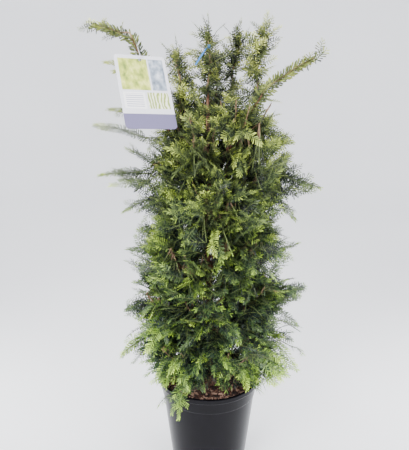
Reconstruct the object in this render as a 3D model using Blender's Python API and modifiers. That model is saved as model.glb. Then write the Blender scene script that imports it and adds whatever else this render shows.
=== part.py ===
"""A columnar yew shrub in its round nursery pot, with a hanging label card.

Metres, +Z up. The origin is at the centre of the pot's flat underside. +X is to
the right of the side that carries the card, and that side faces -Y.
"""

import math
import random
from collections import namedtuple

import bmesh
import bpy
import numpy as np
from mathutils import Matrix, Vector
from mathutils.bvhtree import BVHTree

# Clear space left where two pieces meet.
GAP = 0.0003
UP = Vector((0.0, 0.0, 1.0))

# Pot
POT_HEIGHT = 0.230
POT_RIM_RADIUS = 0.121
POT_BAND_HEIGHT = 0.0115
POT_SHOULDER_RADIUS = 0.1170
POT_LEDGE_HEIGHT = 0.190
POT_LEDGE_STEP = 0.002
POT_BASE_RADIUS = 0.0905
POT_EDGE_CHAMFER = 0.003
POT_RIM_CHAMFER = 0.0013
POT_WALL = 0.0024
POT_FLOOR = 0.0032
POT_SIDES = 32
DRAIN_HOLES = 6
DRAIN_RADIUS = 0.006
DRAIN_CIRCLE_RADIUS = 0.062
DRAIN_SIDES = 10

# Soil
SOIL_HEIGHT = 0.204
SOIL_EDGE_DROP = 0.005
SOIL_FLAT_RADIUS = 0.030
SOIL_HOLLOWS = ((0.055, 0.004), (0.082, 0.001), (0.105, 0.003))

# Trunk: it runs up through the crown to the foot of the middle leader.
TRUNK_TOP = 0.905
TRUNK_FOOT_RADIUS = 0.0115
TRUNK_TIP_RADIUS = 0.0026
TRUNK_FLARE = 1.55
TRUNK_FLARE_HEIGHT = 0.030
TRUNK_LEAN = -0.008
TRUNK_WOBBLE = 0.0045
TRUNK_SIDE_WAVES = 2.6
TRUNK_DEPTH_WAVES = 2.1
TRUNK_DEPTH_SHARE = 0.7
TRUNK_TAPER = 0.8
TRUNK_STEPS = 12
TRUNK_BEVEL = 4

# Boughs: each leaves the trunk square to it and turns up into its mass.
BOUGH_STEPS = 4
BOUGH_TIP_RADIUS = 0.0021
BOUGH_ROOT_RADIUS = 0.0032
BOUGH_THICKENING = 0.0085
BOUGH_SHORT = 0.12
BOUGH_ELBOW = 1.5
BOUGH_OUT_SHARE = 0.28
BOUGH_UP_SHARE = 0.34
BOUGH_RISES = (0.0, -0.018, 0.018, -0.036, 0.036)
BOUGH_TURNS = (0, 24, -24, 48, -48, 72, -72, 96, -96)
BOUGH_END_DROP = 0.034
BOUGH_END_SHARE = 0.56
BOUGH_END_SLOPE = 0.75
BOUGH_BEVEL = 1
LEADER_FOOT_DROP = 0.065
LIMB_CLEARANCE = 0.0012
LIMB_STEP = 0.003

# Crown outline: its middle line stands a little to the right of the pot's.
CROWN_HEIGHTS = (0.19, 0.29, 0.42, 0.56, 0.72, 0.82, 0.90, 0.98, 1.07)
CROWN_RADII = (0.150, 0.184, 0.180, 0.166, 0.158, 0.146, 0.128, 0.112, 0.085)
CROWN_OFFSETS = (0.006, 0.008, 0.004, 0.008, 0.016, 0.018, 0.026, 0.032, 0.036)
CELL_MARGIN = 0.0012
POT_CLEARANCE = 0.004

# Sprays of needles: toothed blades with a low ridge along the middle.
SPRAY_LENGTH = 0.068
SPRAY_HALF_WIDTH = 0.019
SPRAY_RIB_HALF_WIDTH = 0.0042
SPRAY_RIDGE = 0.0022
SPRAY_FOOT_HALF_WIDTH = 0.0022
SPRAY_TEETH = (0.80, 1.0, 0.72)
CORE_SPRAY_TEETH = (1.0, 0.76)
SPRAY_TOOTH_LEAN = 0.55
SPRAY_SMALLEST = 0.62
SPRAY_SET_DOWN = 0.0008
SPRAY_VARIES = (0.85, 1.05)
STEM_FOOT = 0.012
STEM_TIP_RADIUS = 0.0018
STEM_SHIFTS = (0.0, 0.012, 0.024, 0.036)
STEM_TURN = 45
STEM_BARE_SHARE = 0.30
SKIRT_STEM_DROP = 0.035
TWIG_RADIUS = 0.0011
TWIG_TIP_RADIUS = 0.0007
WELD = 0.000001
TWIG_SUNK = 0.012
TWIG_STOPS_SHORT = 0.010
TWIG_REACHES = (1.0, 0.86, 0.72)
TWIG_SPRAY_ROOT = 0.0035
CORE_SPRAY_ROOT = 0.010
CORE_SPRAY_SIZES = (1.2, 1.0, 0.84, 0.68)
SPRAY_ROLL = (20.0, 60.0)
LEAST_SLOPE = 12.0
UPWARD_SWEEP = 0.45
INWARD_LIMIT = -0.2
UPRIGHT = 0.75
HEADINGS_TRIED = 3
GOLDEN_ANGLE = 137.508
SPRAY_STANDS_OUT = 0.032
CORE_SHARES = (0.72, 0.92)
CORE_LEAST_REACH = 0.022
CORE_INWARD_REACH = 0.058
CORE_INWARD_WIDTH = 0.3
CORE_TRIES = 16
CORE_PULL = 0.9
CORE_PULL_WIDTH = 0.7
NEW_GROWTH_HEIGHT = 0.5
OUTLINE_STEP = 0.01
OUTLINE_FURTHEST = 0.30
SEED = 41

# Tiers of foliage round the trunk, from the pot up. The azimuth is in degrees from +X.
# Every other mass of a tier stands higher than its neighbours by twice the stagger.
Tier = namedtuple("Tier", "name height masses radius first_azimuth rise stagger sprays")
TIERS = (
    Tier("skirt", 0.290, 5, 0.106, -128.0, 0.0, 0.0, 10),
    Tier("low", 0.410, 5, 0.098, -92.0, 0.125, 0.012, 10),
    Tier("middle", 0.540, 4, 0.086, -135.0, 0.150, 0.020, 10),
    Tier("upper", 0.675, 4, 0.080, -90.0, 0.165, 0.020, 10),
    Tier("high", 0.805, 4, 0.076, -130.0, 0.170, 0.016, 9),
)

# Leaders above the tiers: middle of the tuft, its tip, height of the bough's root.
Leader = namedtuple("Leader", "name middle tip root sprays")
LEADERS = (
    Leader("top_middle", (0.002, -0.022, 0.965), (-0.004, -0.024, 1.056), 0.0, 19),
    Leader("top_right", (0.100, -0.004, 0.950), (0.118, -0.004, 1.060), 0.700, 18),
    Leader("top_inner", (0.050, 0.030, 0.945), (0.066, 0.040, 1.046), 0.720, 16),
    Leader("top_left", (-0.062, 0.006, 0.930), (-0.070, 0.006, 1.015), 0.720, 17),
    Leader("top_back", (0.016, 0.088, 0.925), (0.014, 0.100, 1.005), 0.690, 13),
)
LEADER_SWEEP = 0.9
LEADER_TIP_ROOM = 0.045
LEADER_SPRAY_SIZES = (1.05, 0.85, 0.68, 0.50)
LEADER_TAPER = 0.35
LEADER_TIP_SIZES = (0.8, 0.66)
LEADER_TIP_SHARE = 0.1

# Long bare-footed shoots that arch out of the crown: root height, foot, heading there and tip.
# The left one has its foot just past the card's tie.
Shoot = namedtuple("Shoot", "name root foot heading tip arch")
SHOOTS = (
    Shoot("shoot_left", 0.735, None, (-0.60, -0.45, 0.65), (-0.254, -0.030, 1.037), 0.006),
    Shoot("shoot_right", 0.755, (0.108, -0.062, 0.905), (0.55, -0.05, 0.55), (0.242, -0.060, 0.984), 0.012),
)
SHOOT_STEPS = 3
SHOOT_SPREAD = 0.75
SHOOT_TILTS = (-0.25, 0.45)
SHOOT_SPRAY_SIZE = 0.72
SHOOT_TAPER = 0.08
SHOOT_SPRAY_STEP = 0.024
SHOOT_TIP_SIZE = 0.6
SHOOT_TIP_SHARE = 0.3

# Tips that stand out of the even outline: azimuth, height, distance from the pot's middle line.
FarTip = namedtuple("FarTip", "azimuth height reach")
FAR_TIPS = (
    FarTip(180, 0.944, 0.200),
    FarTip(184, 0.833, 0.244),
    FarTip(186, 0.730, 0.239),
    FarTip(178, 0.640, 0.194),
    FarTip(183, 0.413, 0.196),
    FarTip(188, 0.311, 0.208),
    FarTip(0, 0.794, 0.182),
    FarTip(-3, 0.700, 0.242),
    FarTip(2, 0.464, 0.224),
    FarTip(-5, 0.268, 0.205),
    FarTip(92, 0.840, 0.196),
    FarTip(70, 0.640, 0.204),
    FarTip(112, 0.450, 0.206),
    FarTip(-62, 0.560, 0.190),
    FarTip(-118, 0.235, 0.176),
)
FAR_TIP_SIZE = 0.9
FAR_TIP_SWEEP = 0.1
FAR_SIDE_SIZE = 0.55
FAR_SIDE_SPREAD = 0.9
FAR_SIDE_SHARES = {1: 0.42, -1: 0.52}

# Label card: its size, place and lean.
CARD_WIDTH = 0.110
CARD_HEIGHT = 0.160
CARD_THICKNESS = 0.0010
CARD_CORNER = 0.008
CARD_HOLE_RADIUS = 0.0032
CARD_HOLE_DROP = 0.010
CARD_MIDDLE = (-0.1275, -0.0840, 0.9090)
CARD_TURN = (-31.0, 4.2, 28.1)
CARD_CLEARANCE = 0.003
CARD_CORNER_STEPS = 3
CARD_HOLE_SIDES = 12
TIE_RADIUS = 0.0009
TIE_REACH = 0.038
TIE_TO_FOOT = 0.014
TIE_SLACK = 0.0008
TIE_ARC_STEPS = 5
TIE_BEVEL = 1

# Blue plastic strip round the middle leader.
TAG_HEIGHT = 0.995
TAG_WIDTH = 0.008
TAG_THICKNESS = 0.0010
TAG_BORE_RADIUS = 0.0025
TAG_COLLAR_RADIUS = 0.0037
TAG_COLLAR_DEPTH = 0.009
TAG_TAIL_LENGTH = 0.044
TAG_TAIL_SLOPE = 54.0
TAG_AZIMUTH = -160.0
TAG_SIDES = 10

Limb = namedtuple("Limb", "points radii")


def make_material(name, colour, roughness):
    material = bpy.data.materials.new(name)
    material.use_nodes = True
    shader = material.node_tree.nodes["Principled BSDF"]
    shader.inputs["Base Color"].default_value = (*colour, 1.0)
    shader.inputs["Roughness"].default_value = roughness
    shader.inputs["Metallic"].default_value = 0.0
    return material


def make_materials():
    return {
        "pot": make_material("Black pot plastic", (0.018, 0.016, 0.020), 0.25),
        "soil": make_material("Bark mulch soil", (0.070, 0.030, 0.020), 0.95),
        "bark": make_material("Yew bark", (0.240, 0.130, 0.080), 0.85),
        "dark": make_material("Yew foliage, older", (0.055, 0.105, 0.040), 0.60),
        "light": make_material("Yew foliage, new growth", (0.180, 0.320, 0.060), 0.55),
        "card": make_material("Label card", (0.450, 0.480, 0.420), 0.35),
        "tie": make_material("Tie", (0.550, 0.560, 0.580), 0.50),
        "tag": make_material("Blue strip", (0.020, 0.230, 0.650), 0.40),
    }


def clear_scene():
    for obj in list(bpy.data.objects):
        bpy.data.objects.remove(obj)


def make_collection(name, hidden=False):
    collection = bpy.data.collections.new(name)
    bpy.context.scene.collection.children.link(collection)
    collection.hide_render = hidden
    return collection


def add_mesh(name, mesh, collection, material=None):
    obj = bpy.data.objects.new(name, mesh)
    collection.objects.link(obj)
    if material:
        mesh.materials.append(material)
    return obj


def add_cutter(name, mesh, collection):
    cutter = add_mesh(name, mesh, collection)
    cutter.hide_render = True
    cutter.display_type = "WIRE"
    return cutter


def cylinder(name, radius, depth, sides):
    form = bmesh.new()
    bmesh.ops.create_cone(form, cap_ends=True, segments=sides, radius1=radius, radius2=radius, depth=depth)
    mesh = bpy.data.meshes.new(name)
    form.to_mesh(mesh)
    form.free()
    return mesh


def turned(name, profile, collection, material):
    """A solid turned round Z from (radius, height) points that run down its outer side."""
    mesh = bpy.data.meshes.new(name)
    points = [(radius, 0.0, height) for radius, height in profile]
    mesh.from_pydata(points, [(i, i + 1) for i in range(len(points) - 1)], [])
    obj = add_mesh(name, mesh, collection, material)
    screw = obj.modifiers.new("Turn", "SCREW")
    screw.steps = POT_SIDES
    screw.render_steps = POT_SIDES
    screw.use_merge_vertices = True
    screw.merge_threshold = 0.0001
    return obj


def wall_radius(height):
    """Outer radius of the pot's tapering wall."""
    share = height / (POT_HEIGHT - POT_BAND_HEIGHT)
    return POT_BASE_RADIUS + (POT_SHOULDER_RADIUS - POT_BASE_RADIUS) * share


def inner_radius(height):
    """Radius of the pot's inside, which runs straight from the floor to the rim."""
    floor = wall_radius(POT_FLOOR) - POT_WALL
    share = (height - POT_FLOOR) / (POT_HEIGHT - POT_FLOOR)
    return floor + (POT_SHOULDER_RADIUS - POT_WALL - floor) * share


def make_pot(parts, cutters, materials):
    lip = POT_HEIGHT - POT_BAND_HEIGHT
    below_rim = POT_HEIGHT - POT_RIM_CHAMFER
    below_ledge = POT_LEDGE_HEIGHT - POT_LEDGE_STEP
    profile = [
        (0.0, POT_FLOOR),
        (inner_radius(POT_FLOOR), POT_FLOOR),
        (inner_radius(below_rim), below_rim),
        (inner_radius(POT_HEIGHT) + POT_RIM_CHAMFER, POT_HEIGHT),
        (POT_RIM_RADIUS - POT_RIM_CHAMFER, POT_HEIGHT),
        (POT_RIM_RADIUS, below_rim),
        (POT_RIM_RADIUS, lip),
        (wall_radius(lip), lip),
        (wall_radius(POT_LEDGE_HEIGHT), POT_LEDGE_HEIGHT),
        (wall_radius(POT_LEDGE_HEIGHT) - POT_LEDGE_STEP, below_ledge),
        (POT_BASE_RADIUS, POT_EDGE_CHAMFER),
        (POT_BASE_RADIUS - POT_EDGE_CHAMFER, 0.0),
        (0.0, 0.0),
    ]
    pot = turned("pot", profile, parts, materials["pot"])
    for i in range(DRAIN_HOLES):
        angle = math.tau * i / DRAIN_HOLES
        name = f"drain_{i + 1}"
        cutter = add_cutter(name, cylinder(name, DRAIN_RADIUS, 4 * POT_FLOOR, DRAIN_SIDES), cutters)
        cutter.location = (DRAIN_CIRCLE_RADIUS * math.cos(angle), DRAIN_CIRCLE_RADIUS * math.sin(angle), 0.0)
    cut = pot.modifiers.new("Drain holes", "BOOLEAN")
    cut.operation = "DIFFERENCE"
    cut.operand_type = "COLLECTION"
    cut.collection = cutters
    return pot


def make_soil(parts, materials):
    edge = SOIL_HEIGHT - SOIL_EDGE_DROP
    bottom = POT_FLOOR + GAP
    profile = [(0.0, SOIL_HEIGHT), (SOIL_FLAT_RADIUS, SOIL_HEIGHT)]
    profile += [(radius, SOIL_HEIGHT - drop) for radius, drop in SOIL_HOLLOWS]
    profile += [
        (inner_radius(edge) - 2 * GAP, edge),
        (inner_radius(bottom) - 2 * GAP, bottom),
        (0.0, bottom),
    ]
    return turned("soil", profile, parts, materials["soil"])


def make_limb(name, limb, collection, material, resolution):
    curve = bpy.data.curves.new(name, "CURVE")
    curve.dimensions = "3D"
    curve.bevel_depth = 1.0
    curve.bevel_resolution = resolution
    curve.use_fill_caps = True
    spline = curve.splines.new("POLY")
    spline.points.add(len(limb.points) - 1)
    for point, place, radius in zip(spline.points, limb.points, limb.radii):
        point.co = (*place, 1.0)
        point.radius = radius
    obj = bpy.data.objects.new(name, curve)
    collection.objects.link(obj)
    if material:
        curve.materials.append(material)
    return obj


def plan_trunk():
    foot = SOIL_HEIGHT + GAP
    points = [Vector((0.0, 0.0, foot))]
    radii = [TRUNK_FOOT_RADIUS * TRUNK_FLARE]
    for i in range(TRUNK_STEPS):
        share = i / (TRUNK_STEPS - 1)
        height = foot + TRUNK_FLARE_HEIGHT + (TRUNK_TOP - foot - TRUNK_FLARE_HEIGHT) * share
        side = TRUNK_LEAN * share + TRUNK_WOBBLE * math.sin(TRUNK_SIDE_WAVES * math.pi * share)
        depth = 1.0 - math.cos(TRUNK_DEPTH_WAVES * math.pi * share)
        points.append(Vector((side, TRUNK_WOBBLE * TRUNK_DEPTH_SHARE * depth, height)))
        radii.append(TRUNK_TIP_RADIUS + (TRUNK_FOOT_RADIUS - TRUNK_TIP_RADIUS) * (1.0 - share) ** TRUNK_TAPER)
    return Limb(points, radii)


def trunk_at(trunk, height):
    """Middle point, direction and radius of the trunk at a height."""
    for i in range(len(trunk.points) - 1):
        low, high = trunk.points[i], trunk.points[i + 1]
        if high.z >= height:
            break
    share = (height - low.z) / (high.z - low.z)
    radius = trunk.radii[i] + (trunk.radii[i + 1] - trunk.radii[i]) * share
    return low.lerp(high, share), (high - low).normalized(), radius


def limb_samples(limb, first=0):
    """Points at small steps along a limb from its given segment on, and its radius at each."""
    points, radii = [], []
    for i in range(first, len(limb.points) - 1):
        start, end = limb.points[i : i + 2]
        steps = math.ceil((end - start).length / LIMB_STEP)
        for step in range(steps + 1):
            points.append(start.lerp(end, step / steps))
            radii.append(limb.radii[i] + (limb.radii[i + 1] - limb.radii[i]) * step / steps)
    return np.array([tuple(point) for point in points]), np.array(radii)


def limb_room(limb, first, others):
    """Least distance from a limb, from its given segment on, to any of the others."""
    places, radii = limb_samples(limb, first)
    least = math.inf
    for other in others:
        for start, end, r0, r1 in zip(other.points, other.points[1:], other.radii, other.radii[1:]):
            foot = np.array(start)
            run = np.array(end) - foot
            share = np.clip((places - foot) @ run / (run @ run), 0.0, 1.0)
            away = np.linalg.norm(places - foot - share[:, None] * run, axis=1)
            least = min(least, float((away - radii - r0 - (r1 - r0) * share).min()))
    return least


def bezier(a, b, c, d, share):
    rest = 1.0 - share
    return a * rest**3 + b * (3 * rest * rest * share) + c * (3 * rest * share * share) + d * share**3


def bough_limb(trunk, root_height, turn, end, heading):
    """A tapering limb that leaves the trunk square to it and turns up into its heading."""
    root, along, trunk_radius = trunk_at(trunk, root_height)
    out = Vector((end.x - root.x, end.y - root.y, 0.0))
    out.rotate(Matrix.Rotation(math.radians(turn), 3, "Z"))
    out = (out - along * out.dot(along)).normalized()
    length = (end - root).length
    root_radius = BOUGH_ROOT_RADIUS + BOUGH_THICKENING * max(0.0, length - BOUGH_SHORT)
    start = root + out * (trunk_radius + GAP)
    elbow = start + out * BOUGH_ELBOW * root_radius
    outward = elbow + out * BOUGH_OUT_SHARE * length
    upward = end - heading * BOUGH_UP_SHARE * length
    points = [start]
    for i in range(BOUGH_STEPS):
        points.append(bezier(elbow, outward, upward, end, i / (BOUGH_STEPS - 1)))
    last = len(points) - 1
    radii = [root_radius + (BOUGH_TIP_RADIUS - root_radius) * i / last for i in range(last + 1)]
    return Limb(points, radii)


def plan_bough(trunk, others, root_height, end, heading):
    """The first root round and up the trunk whose limb is clear of the others, or the clearest."""
    best, best_room = None, -math.inf
    for rise in BOUGH_RISES:
        for turn in BOUGH_TURNS:
            limb = bough_limb(trunk, root_height + rise, turn, end, heading)
            foot = limb.points[-1] + (limb.points[-1] - limb.points[-2]).normalized() * STEM_FOOT
            with_foot = Limb(limb.points + [foot], limb.radii + [limb.radii[-1]])
            room = min(limb_room(with_foot, 0, others), limb_room(with_foot, 2, [trunk]))
            if room > LIMB_CLEARANCE:
                return limb
            if room > best_room:
                best, best_room = limb, room
    return best


def crown_axis(height):
    return Vector((float(np.interp(height, CROWN_HEIGHTS, CROWN_OFFSETS)), 0.0, height))


def crown_radius(height):
    return float(np.interp(height, CROWN_HEIGHTS, CROWN_RADII))


def sideways(azimuth):
    angle = math.radians(azimuth)
    return Vector((math.cos(angle), math.sin(angle), 0.0))


def plan_cells():
    """The middle point of each mass: a mass keeps to the space nearer to its own than to any other."""
    cells = {}
    for tier in TIERS:
        for i in range(tier.masses):
            out = sideways(tier.first_azimuth + 360.0 * i / tier.masses)
            height = tier.height + (tier.stagger if i % 2 else -tier.stagger)
            cells[f"{tier.name}_{i + 1}"] = crown_axis(height) + out * tier.radius
    for leader in LEADERS:
        cells[leader.name] = Vector(leader.middle)
    for shoot in SHOOTS:
        cells[shoot.name] = shoot_path(shoot)[0].lerp(Vector(shoot.tip), 0.5)
    return cells


def cell_reach(cells, name, heading):
    """How far a mass's own space goes from its middle along a heading."""
    middle = cells[name]
    reach = 1.0
    for other, place in cells.items():
        towards = place - middle
        along = towards.dot(heading)
        if other != name and along > 0.0:
            reach = min(reach, towards.length_squared / (2.0 * along))
    return reach


def outline_reach(middle, heading):
    """How far the crown's outline is from a point along a heading."""
    reach = 0.0
    while reach < OUTLINE_FURTHEST and inside_outline(middle + heading * (reach + OUTLINE_STEP)):
        reach += OUTLINE_STEP
    return reach


def inside_outline(place):
    in_height = CROWN_HEIGHTS[0] < place.z < CROWN_HEIGHTS[-1]
    return in_height and (place - crown_axis(place.z)).to_2d().length < crown_radius(place.z)


def inside_cell(cells, name, points):
    middle = cells[name]
    places = np.array([tuple(point) for point in points])
    for other, place in cells.items():
        if other == name:
            continue
        towards = np.array(place - middle)
        span = np.linalg.norm(towards)
        past = (places - np.array(middle)) @ towards / span - span / 2
        if past.max() > -CELL_MARGIN:
            return False
    return True


def clear_of_pot(points):
    for point in points:
        low = point.z < POT_HEIGHT + POT_CLEARANCE
        if low and point.to_2d().length < POT_RIM_RADIUS + POT_CLEARANCE:
            return False
    return True


def card_frame():
    turn = Matrix.Rotation(math.radians(CARD_TURN[2]), 4, "Z")
    turn = turn @ Matrix.Rotation(math.radians(CARD_TURN[1]), 4, "Y")
    turn = turn @ Matrix.Rotation(math.radians(CARD_TURN[0]), 4, "X")
    return Matrix.Translation(CARD_MIDDLE) @ turn


def card_hole():
    return card_frame() @ Vector((0.0, 0.0, CARD_HEIGHT / 2 - CARD_HOLE_DROP))


def hang_point():
    """Where the left shoot's bough passes over the card, in line with its hole."""
    return card_frame() @ Vector((0.0, 0.0, CARD_HEIGHT / 2 - CARD_HOLE_DROP + TIE_REACH))


def behind_card(points):
    """True when nothing reaches the card's back or passes in front of it."""
    to_card = card_frame().inverted()
    for point in points:
        local = to_card @ point
        beside = abs(local.x) > CARD_WIDTH / 2 + CARD_CLEARANCE
        above = abs(local.z) > CARD_HEIGHT / 2 + CARD_CLEARANCE
        if not beside and not above and local.y < CARD_THICKNESS + CARD_CLEARANCE:
            return False
    return True


def surface_points(form):
    """Corners, points along the edges and middles of the faces of a bmesh."""
    points = [vert.co.copy() for vert in form.verts]
    for edge in form.edges:
        a, b = (vert.co for vert in edge.verts)
        points.extend(a.lerp(b, share) for share in (0.2, 0.4, 0.6, 0.8))
    points.extend(face.calc_center_median() for face in form.faces)
    return points


def twig_form(start, end, start_radius, end_radius):
    """A three-sided twig."""
    form = bmesh.new()
    run = end - start
    place = Matrix.Translation((start + end) / 2) @ run.to_track_quat("Z", "Y").to_matrix().to_4x4()
    bmesh.ops.create_cone(
        form,
        cap_ends=True,
        cap_tris=True,
        segments=3,
        radius1=start_radius,
        radius2=end_radius,
        depth=run.length,
        matrix=place,
    )
    return form


def spray_form(base, heading, face_up, length, half_width, tooth_shares=SPRAY_TEETH):
    """A toothed blade: flat below, with teeth that lean forward on both sides of a low ridge."""
    form = bmesh.new()
    side = heading.cross(face_up).normalized()
    up = side.cross(heading).normalized()
    count = len(tooth_shares)
    step = length / (count + 1)

    def at(along, across, lift):
        return form.verts.new(base + heading * along + side * across + up * (lift - SPRAY_SET_DOWN))

    ridge = [at(step * i, 0.0, SPRAY_RIDGE) for i in range(count + 1)]
    tip = at(length, 0.0, 0.0)
    outline = {}
    for sign in (1, -1):
        notches = [at(0.0, sign * SPRAY_FOOT_HALF_WIDTH, 0.0)]
        notches += [at(step * (i + 1), sign * SPRAY_RIB_HALF_WIDTH, 0.0) for i in range(count)]
        widths = [half_width * share for share in tooth_shares]
        teeth = [
            at(step * (i + 0.5) + SPRAY_TOOTH_LEAN * width, sign * width, 0.0)
            for i, width in enumerate(widths)
        ]
        for i in range(count):
            form.faces.new((ridge[i], notches[i], teeth[i]))
            form.faces.new((ridge[i], teeth[i], ridge[i + 1]))
            form.faces.new((ridge[i + 1], teeth[i], notches[i + 1]))
        form.faces.new((ridge[-1], notches[-1], tip))
        outline[sign] = [corner for pair in zip(notches, teeth) for corner in pair] + [notches[-1]]
    form.faces.new(outline[1] + [tip] + outline[-1][::-1])
    form.faces.new((ridge[0], outline[1][0], outline[-1][0]))
    bmesh.ops.recalc_face_normals(form, faces=form.faces)
    return form


def core_form(cells, name, inward, luck):
    """A lumpy closed core that stays well inside the mass's own space."""
    form = bmesh.new()
    bmesh.ops.create_icosphere(form, subdivisions=2, radius=1.0)
    middle = cells[name]
    for vert in form.verts:
        heading = vert.co.normalized()
        reach = min(cell_reach(cells, name, heading), outline_reach(middle, heading) - SPRAY_STANDS_OUT)
        if heading.dot(inward) > CORE_INWARD_WIDTH:
            reach = min(reach, CORE_INWARD_REACH)
        if heading.z < 0.0:
            reach = min(reach, (POT_HEIGHT + 2 * POT_CLEARANCE - middle.z) / heading.z)
        vert.co = middle + heading * max(reach, CORE_LEAST_REACH) * luck.uniform(*CORE_SHARES)
    return form


class Mass:
    """One mass of foliage: the pieces that have found room in its own space."""

    def __init__(self, name, cells, obstacles, seed):
        self.name = name
        self.cells = cells
        samples = [limb_samples(limb) for limb in obstacles]
        self.limb_places = np.concatenate([places for places, _ in samples])
        self.limb_radii = np.concatenate([radii for _, radii in samples])
        self.luck = random.Random(seed)
        self.forms = []
        self.sprays = []
        self.core = None

    def fits(self, form):
        points = surface_points(form)
        return (
            inside_cell(self.cells, self.name, points)
            and clear_of_pot(points)
            and behind_card(points)
            and not self.crowding(form)
        )

    def crowding(self, form):
        """The places of the obstacles that lie in a closed form or close by it."""
        corners = np.array([tuple(vert.co) for vert in form.verts])
        reach = self.limb_radii[:, None] + LIMB_CLEARANCE
        above = self.limb_places + reach > corners.min(axis=0)
        below = self.limb_places - reach < corners.max(axis=0)
        near = np.all(above & below, axis=1)
        tree = BVHTree.FromBMesh(form)
        found = []
        for place, radius in zip(self.limb_places[near], self.limb_radii[near]):
            place = Vector(place)
            spot, normal, _, away = tree.find_nearest(place)
            if away < radius + LIMB_CLEARANCE or (place - spot).dot(normal) < 0.0:
                found.append(place)
        return found

    def keep(self, *forms):
        if all(self.fits(form) for form in forms):
            self.forms.extend(forms)
            return True
        for form in forms:
            form.free()
        return False

    def keep_spray(self, *forms):
        """Keeps the forms, the last of which is a spray, unless it would cross a spray that is there."""
        tree = BVHTree.FromBMesh(forms[-1])
        if any(tree.overlap(other) for other in self.sprays):
            for form in forms:
                form.free()
            return False
        if not self.keep(*forms):
            return False
        self.sprays.append(tree)
        return True

    def add_stem(self, limb):
        stem = make_limb(f"{self.name}_stem", limb, bpy.context.scene.collection, None, 0)
        graph = bpy.context.evaluated_depsgraph_get()
        mesh = bpy.data.meshes.new_from_object(stem.evaluated_get(graph))
        form = bmesh.new()
        form.from_mesh(mesh)
        form.transform(stem.matrix_world)
        bmesh.ops.remove_doubles(form, verts=form.verts, dist=WELD)
        bpy.data.objects.remove(stem)
        self.forms.append(form)

    def add_spray(self, foot, tip, size, sweep=UPWARD_SWEEP):
        """A twig from its foot towards the tip, and the spray that ends there."""
        away = tip - foot
        heading = (away.normalized() + UP * sweep).normalized()
        length = SPRAY_LENGTH * size
        base = tip - heading * length
        if (base - foot).length < TWIG_SUNK:
            base = foot + (base - foot).normalized() * TWIG_SUNK
            heading = (tip - base).normalized()
            length = (tip - base).length
        twig = twig_form(foot, base + heading * TWIG_SUNK, TWIG_RADIUS, TWIG_TIP_RADIUS)
        spray = spray_form(base, heading, self.face_up(heading), length, SPRAY_HALF_WIDTH * size)
        return self.keep_spray(twig, spray)

    def add_side_spray(self, foot, heading, size, root=TWIG_SPRAY_ROOT, teeth=SPRAY_TEETH):
        """A spray that grows straight out of the core or of a twig."""
        base = foot - heading * root
        sizes = (SPRAY_LENGTH * size, SPRAY_HALF_WIDTH * size)
        return self.keep_spray(spray_form(base, heading, self.face_up(heading), *sizes, teeth))

    def face_up(self, heading):
        """The blade's upper side, which is rolled to the left or right about its heading."""
        level = heading.cross(UP)
        if level.length < math.sin(math.radians(LEAST_SLOPE)):
            level = sideways(self.luck.uniform(0.0, 360.0))
        level.normalize()
        roll = math.radians(self.luck.choice((-1, 1)) * self.luck.uniform(*SPRAY_ROLL))
        return level.cross(heading).normalized() * math.cos(roll) + level * math.sin(roll)

    def finish(self, collection, material):
        """One body: the stem joined with all that stands on it."""
        pieces = make_collection(f"{self.name} pieces")
        objects = []
        for i, form in enumerate(self.forms):
            mesh = bpy.data.meshes.new(f"{self.name}_piece_{i}")
            form.to_mesh(mesh)
            form.free()
            objects.append(add_mesh(mesh.name, mesh, pieces if i else collection))
        mass = objects[0]
        join = mass.modifiers.new("Join", "BOOLEAN")
        join.operation = "UNION"
        join.operand_type = "COLLECTION"
        join.collection = pieces
        graph = bpy.context.evaluated_depsgraph_get()
        joined = bpy.data.meshes.new_from_object(mass.evaluated_get(graph))
        for obj in objects:
            bpy.data.objects.remove(obj)
        bpy.data.collections.remove(pieces)
        keep_largest_body(joined)
        joined.materials.clear()
        return add_mesh(f"foliage_{self.name}", joined, collection, material)


def keep_largest_body(mesh):
    """Fills sealed hollows and drops loose scraps, by keeping the body with the most corners."""
    form = bmesh.new()
    form.from_mesh(mesh)
    left = set(form.verts)
    bodies = []
    while left:
        body = {left.pop()}
        edge_of_body = list(body)
        while edge_of_body:
            vert = edge_of_body.pop()
            for edge in vert.link_edges:
                other = edge.other_vert(vert)
                if other not in body:
                    body.add(other)
                    edge_of_body.append(other)
        left -= body
        bodies.append(body)
    largest = max(bodies, key=len)
    dropped = [vert for body in bodies if body is not largest for vert in body]
    bmesh.ops.delete(form, geom=dropped, context="VERTS")
    form.to_mesh(mesh)
    form.free()


def even_headings(count, luck):
    """Even headings all round a point, from the top down."""
    start = luck.uniform(0.0, 360.0)
    for i in range(count):
        height = 1.0 - (2.0 * i + 1.0) / count
        flat = math.sqrt(1.0 - height * height)
        yield sideways(start + GOLDEN_ANGLE * i) * flat + UP * height


def outer_headings(mass, outward, count):
    """Headings in a mixed order, without those that point back into the crown."""
    headings = [
        heading
        for heading in even_headings(count, mass.luck)
        if heading.dot(outward) > INWARD_LIMIT or heading.z > UPRIGHT
    ]
    mass.luck.shuffle(headings)
    return headings


def fill_stem(mass, stem, outward, sprays):
    """Sprays on twigs that end all over the outer side of the mass's own space."""
    middle = mass.cells[mass.name]
    made = 0
    for heading in outer_headings(mass, outward, sprays * HEADINGS_TRIED):
        reach = cell_reach(mass.cells, mass.name, heading) - TWIG_STOPS_SHORT
        reach = min(reach, outline_reach(middle, heading))
        foot = stem[-2].lerp(stem[-1], STEM_BARE_SHARE + (1.0 - STEM_BARE_SHARE) * made / sprays)
        for share in TWIG_REACHES:
            tip = middle + heading * reach * share
            if (tip - foot).length < SPRAY_LENGTH * SPRAY_SMALLEST:
                break
            size = min(1.0, (tip - foot).length / SPRAY_LENGTH) * mass.luck.uniform(*SPRAY_VARIES)
            if mass.add_spray(foot, tip, size):
                made += 1
                break
        if made == sprays:
            break


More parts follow.
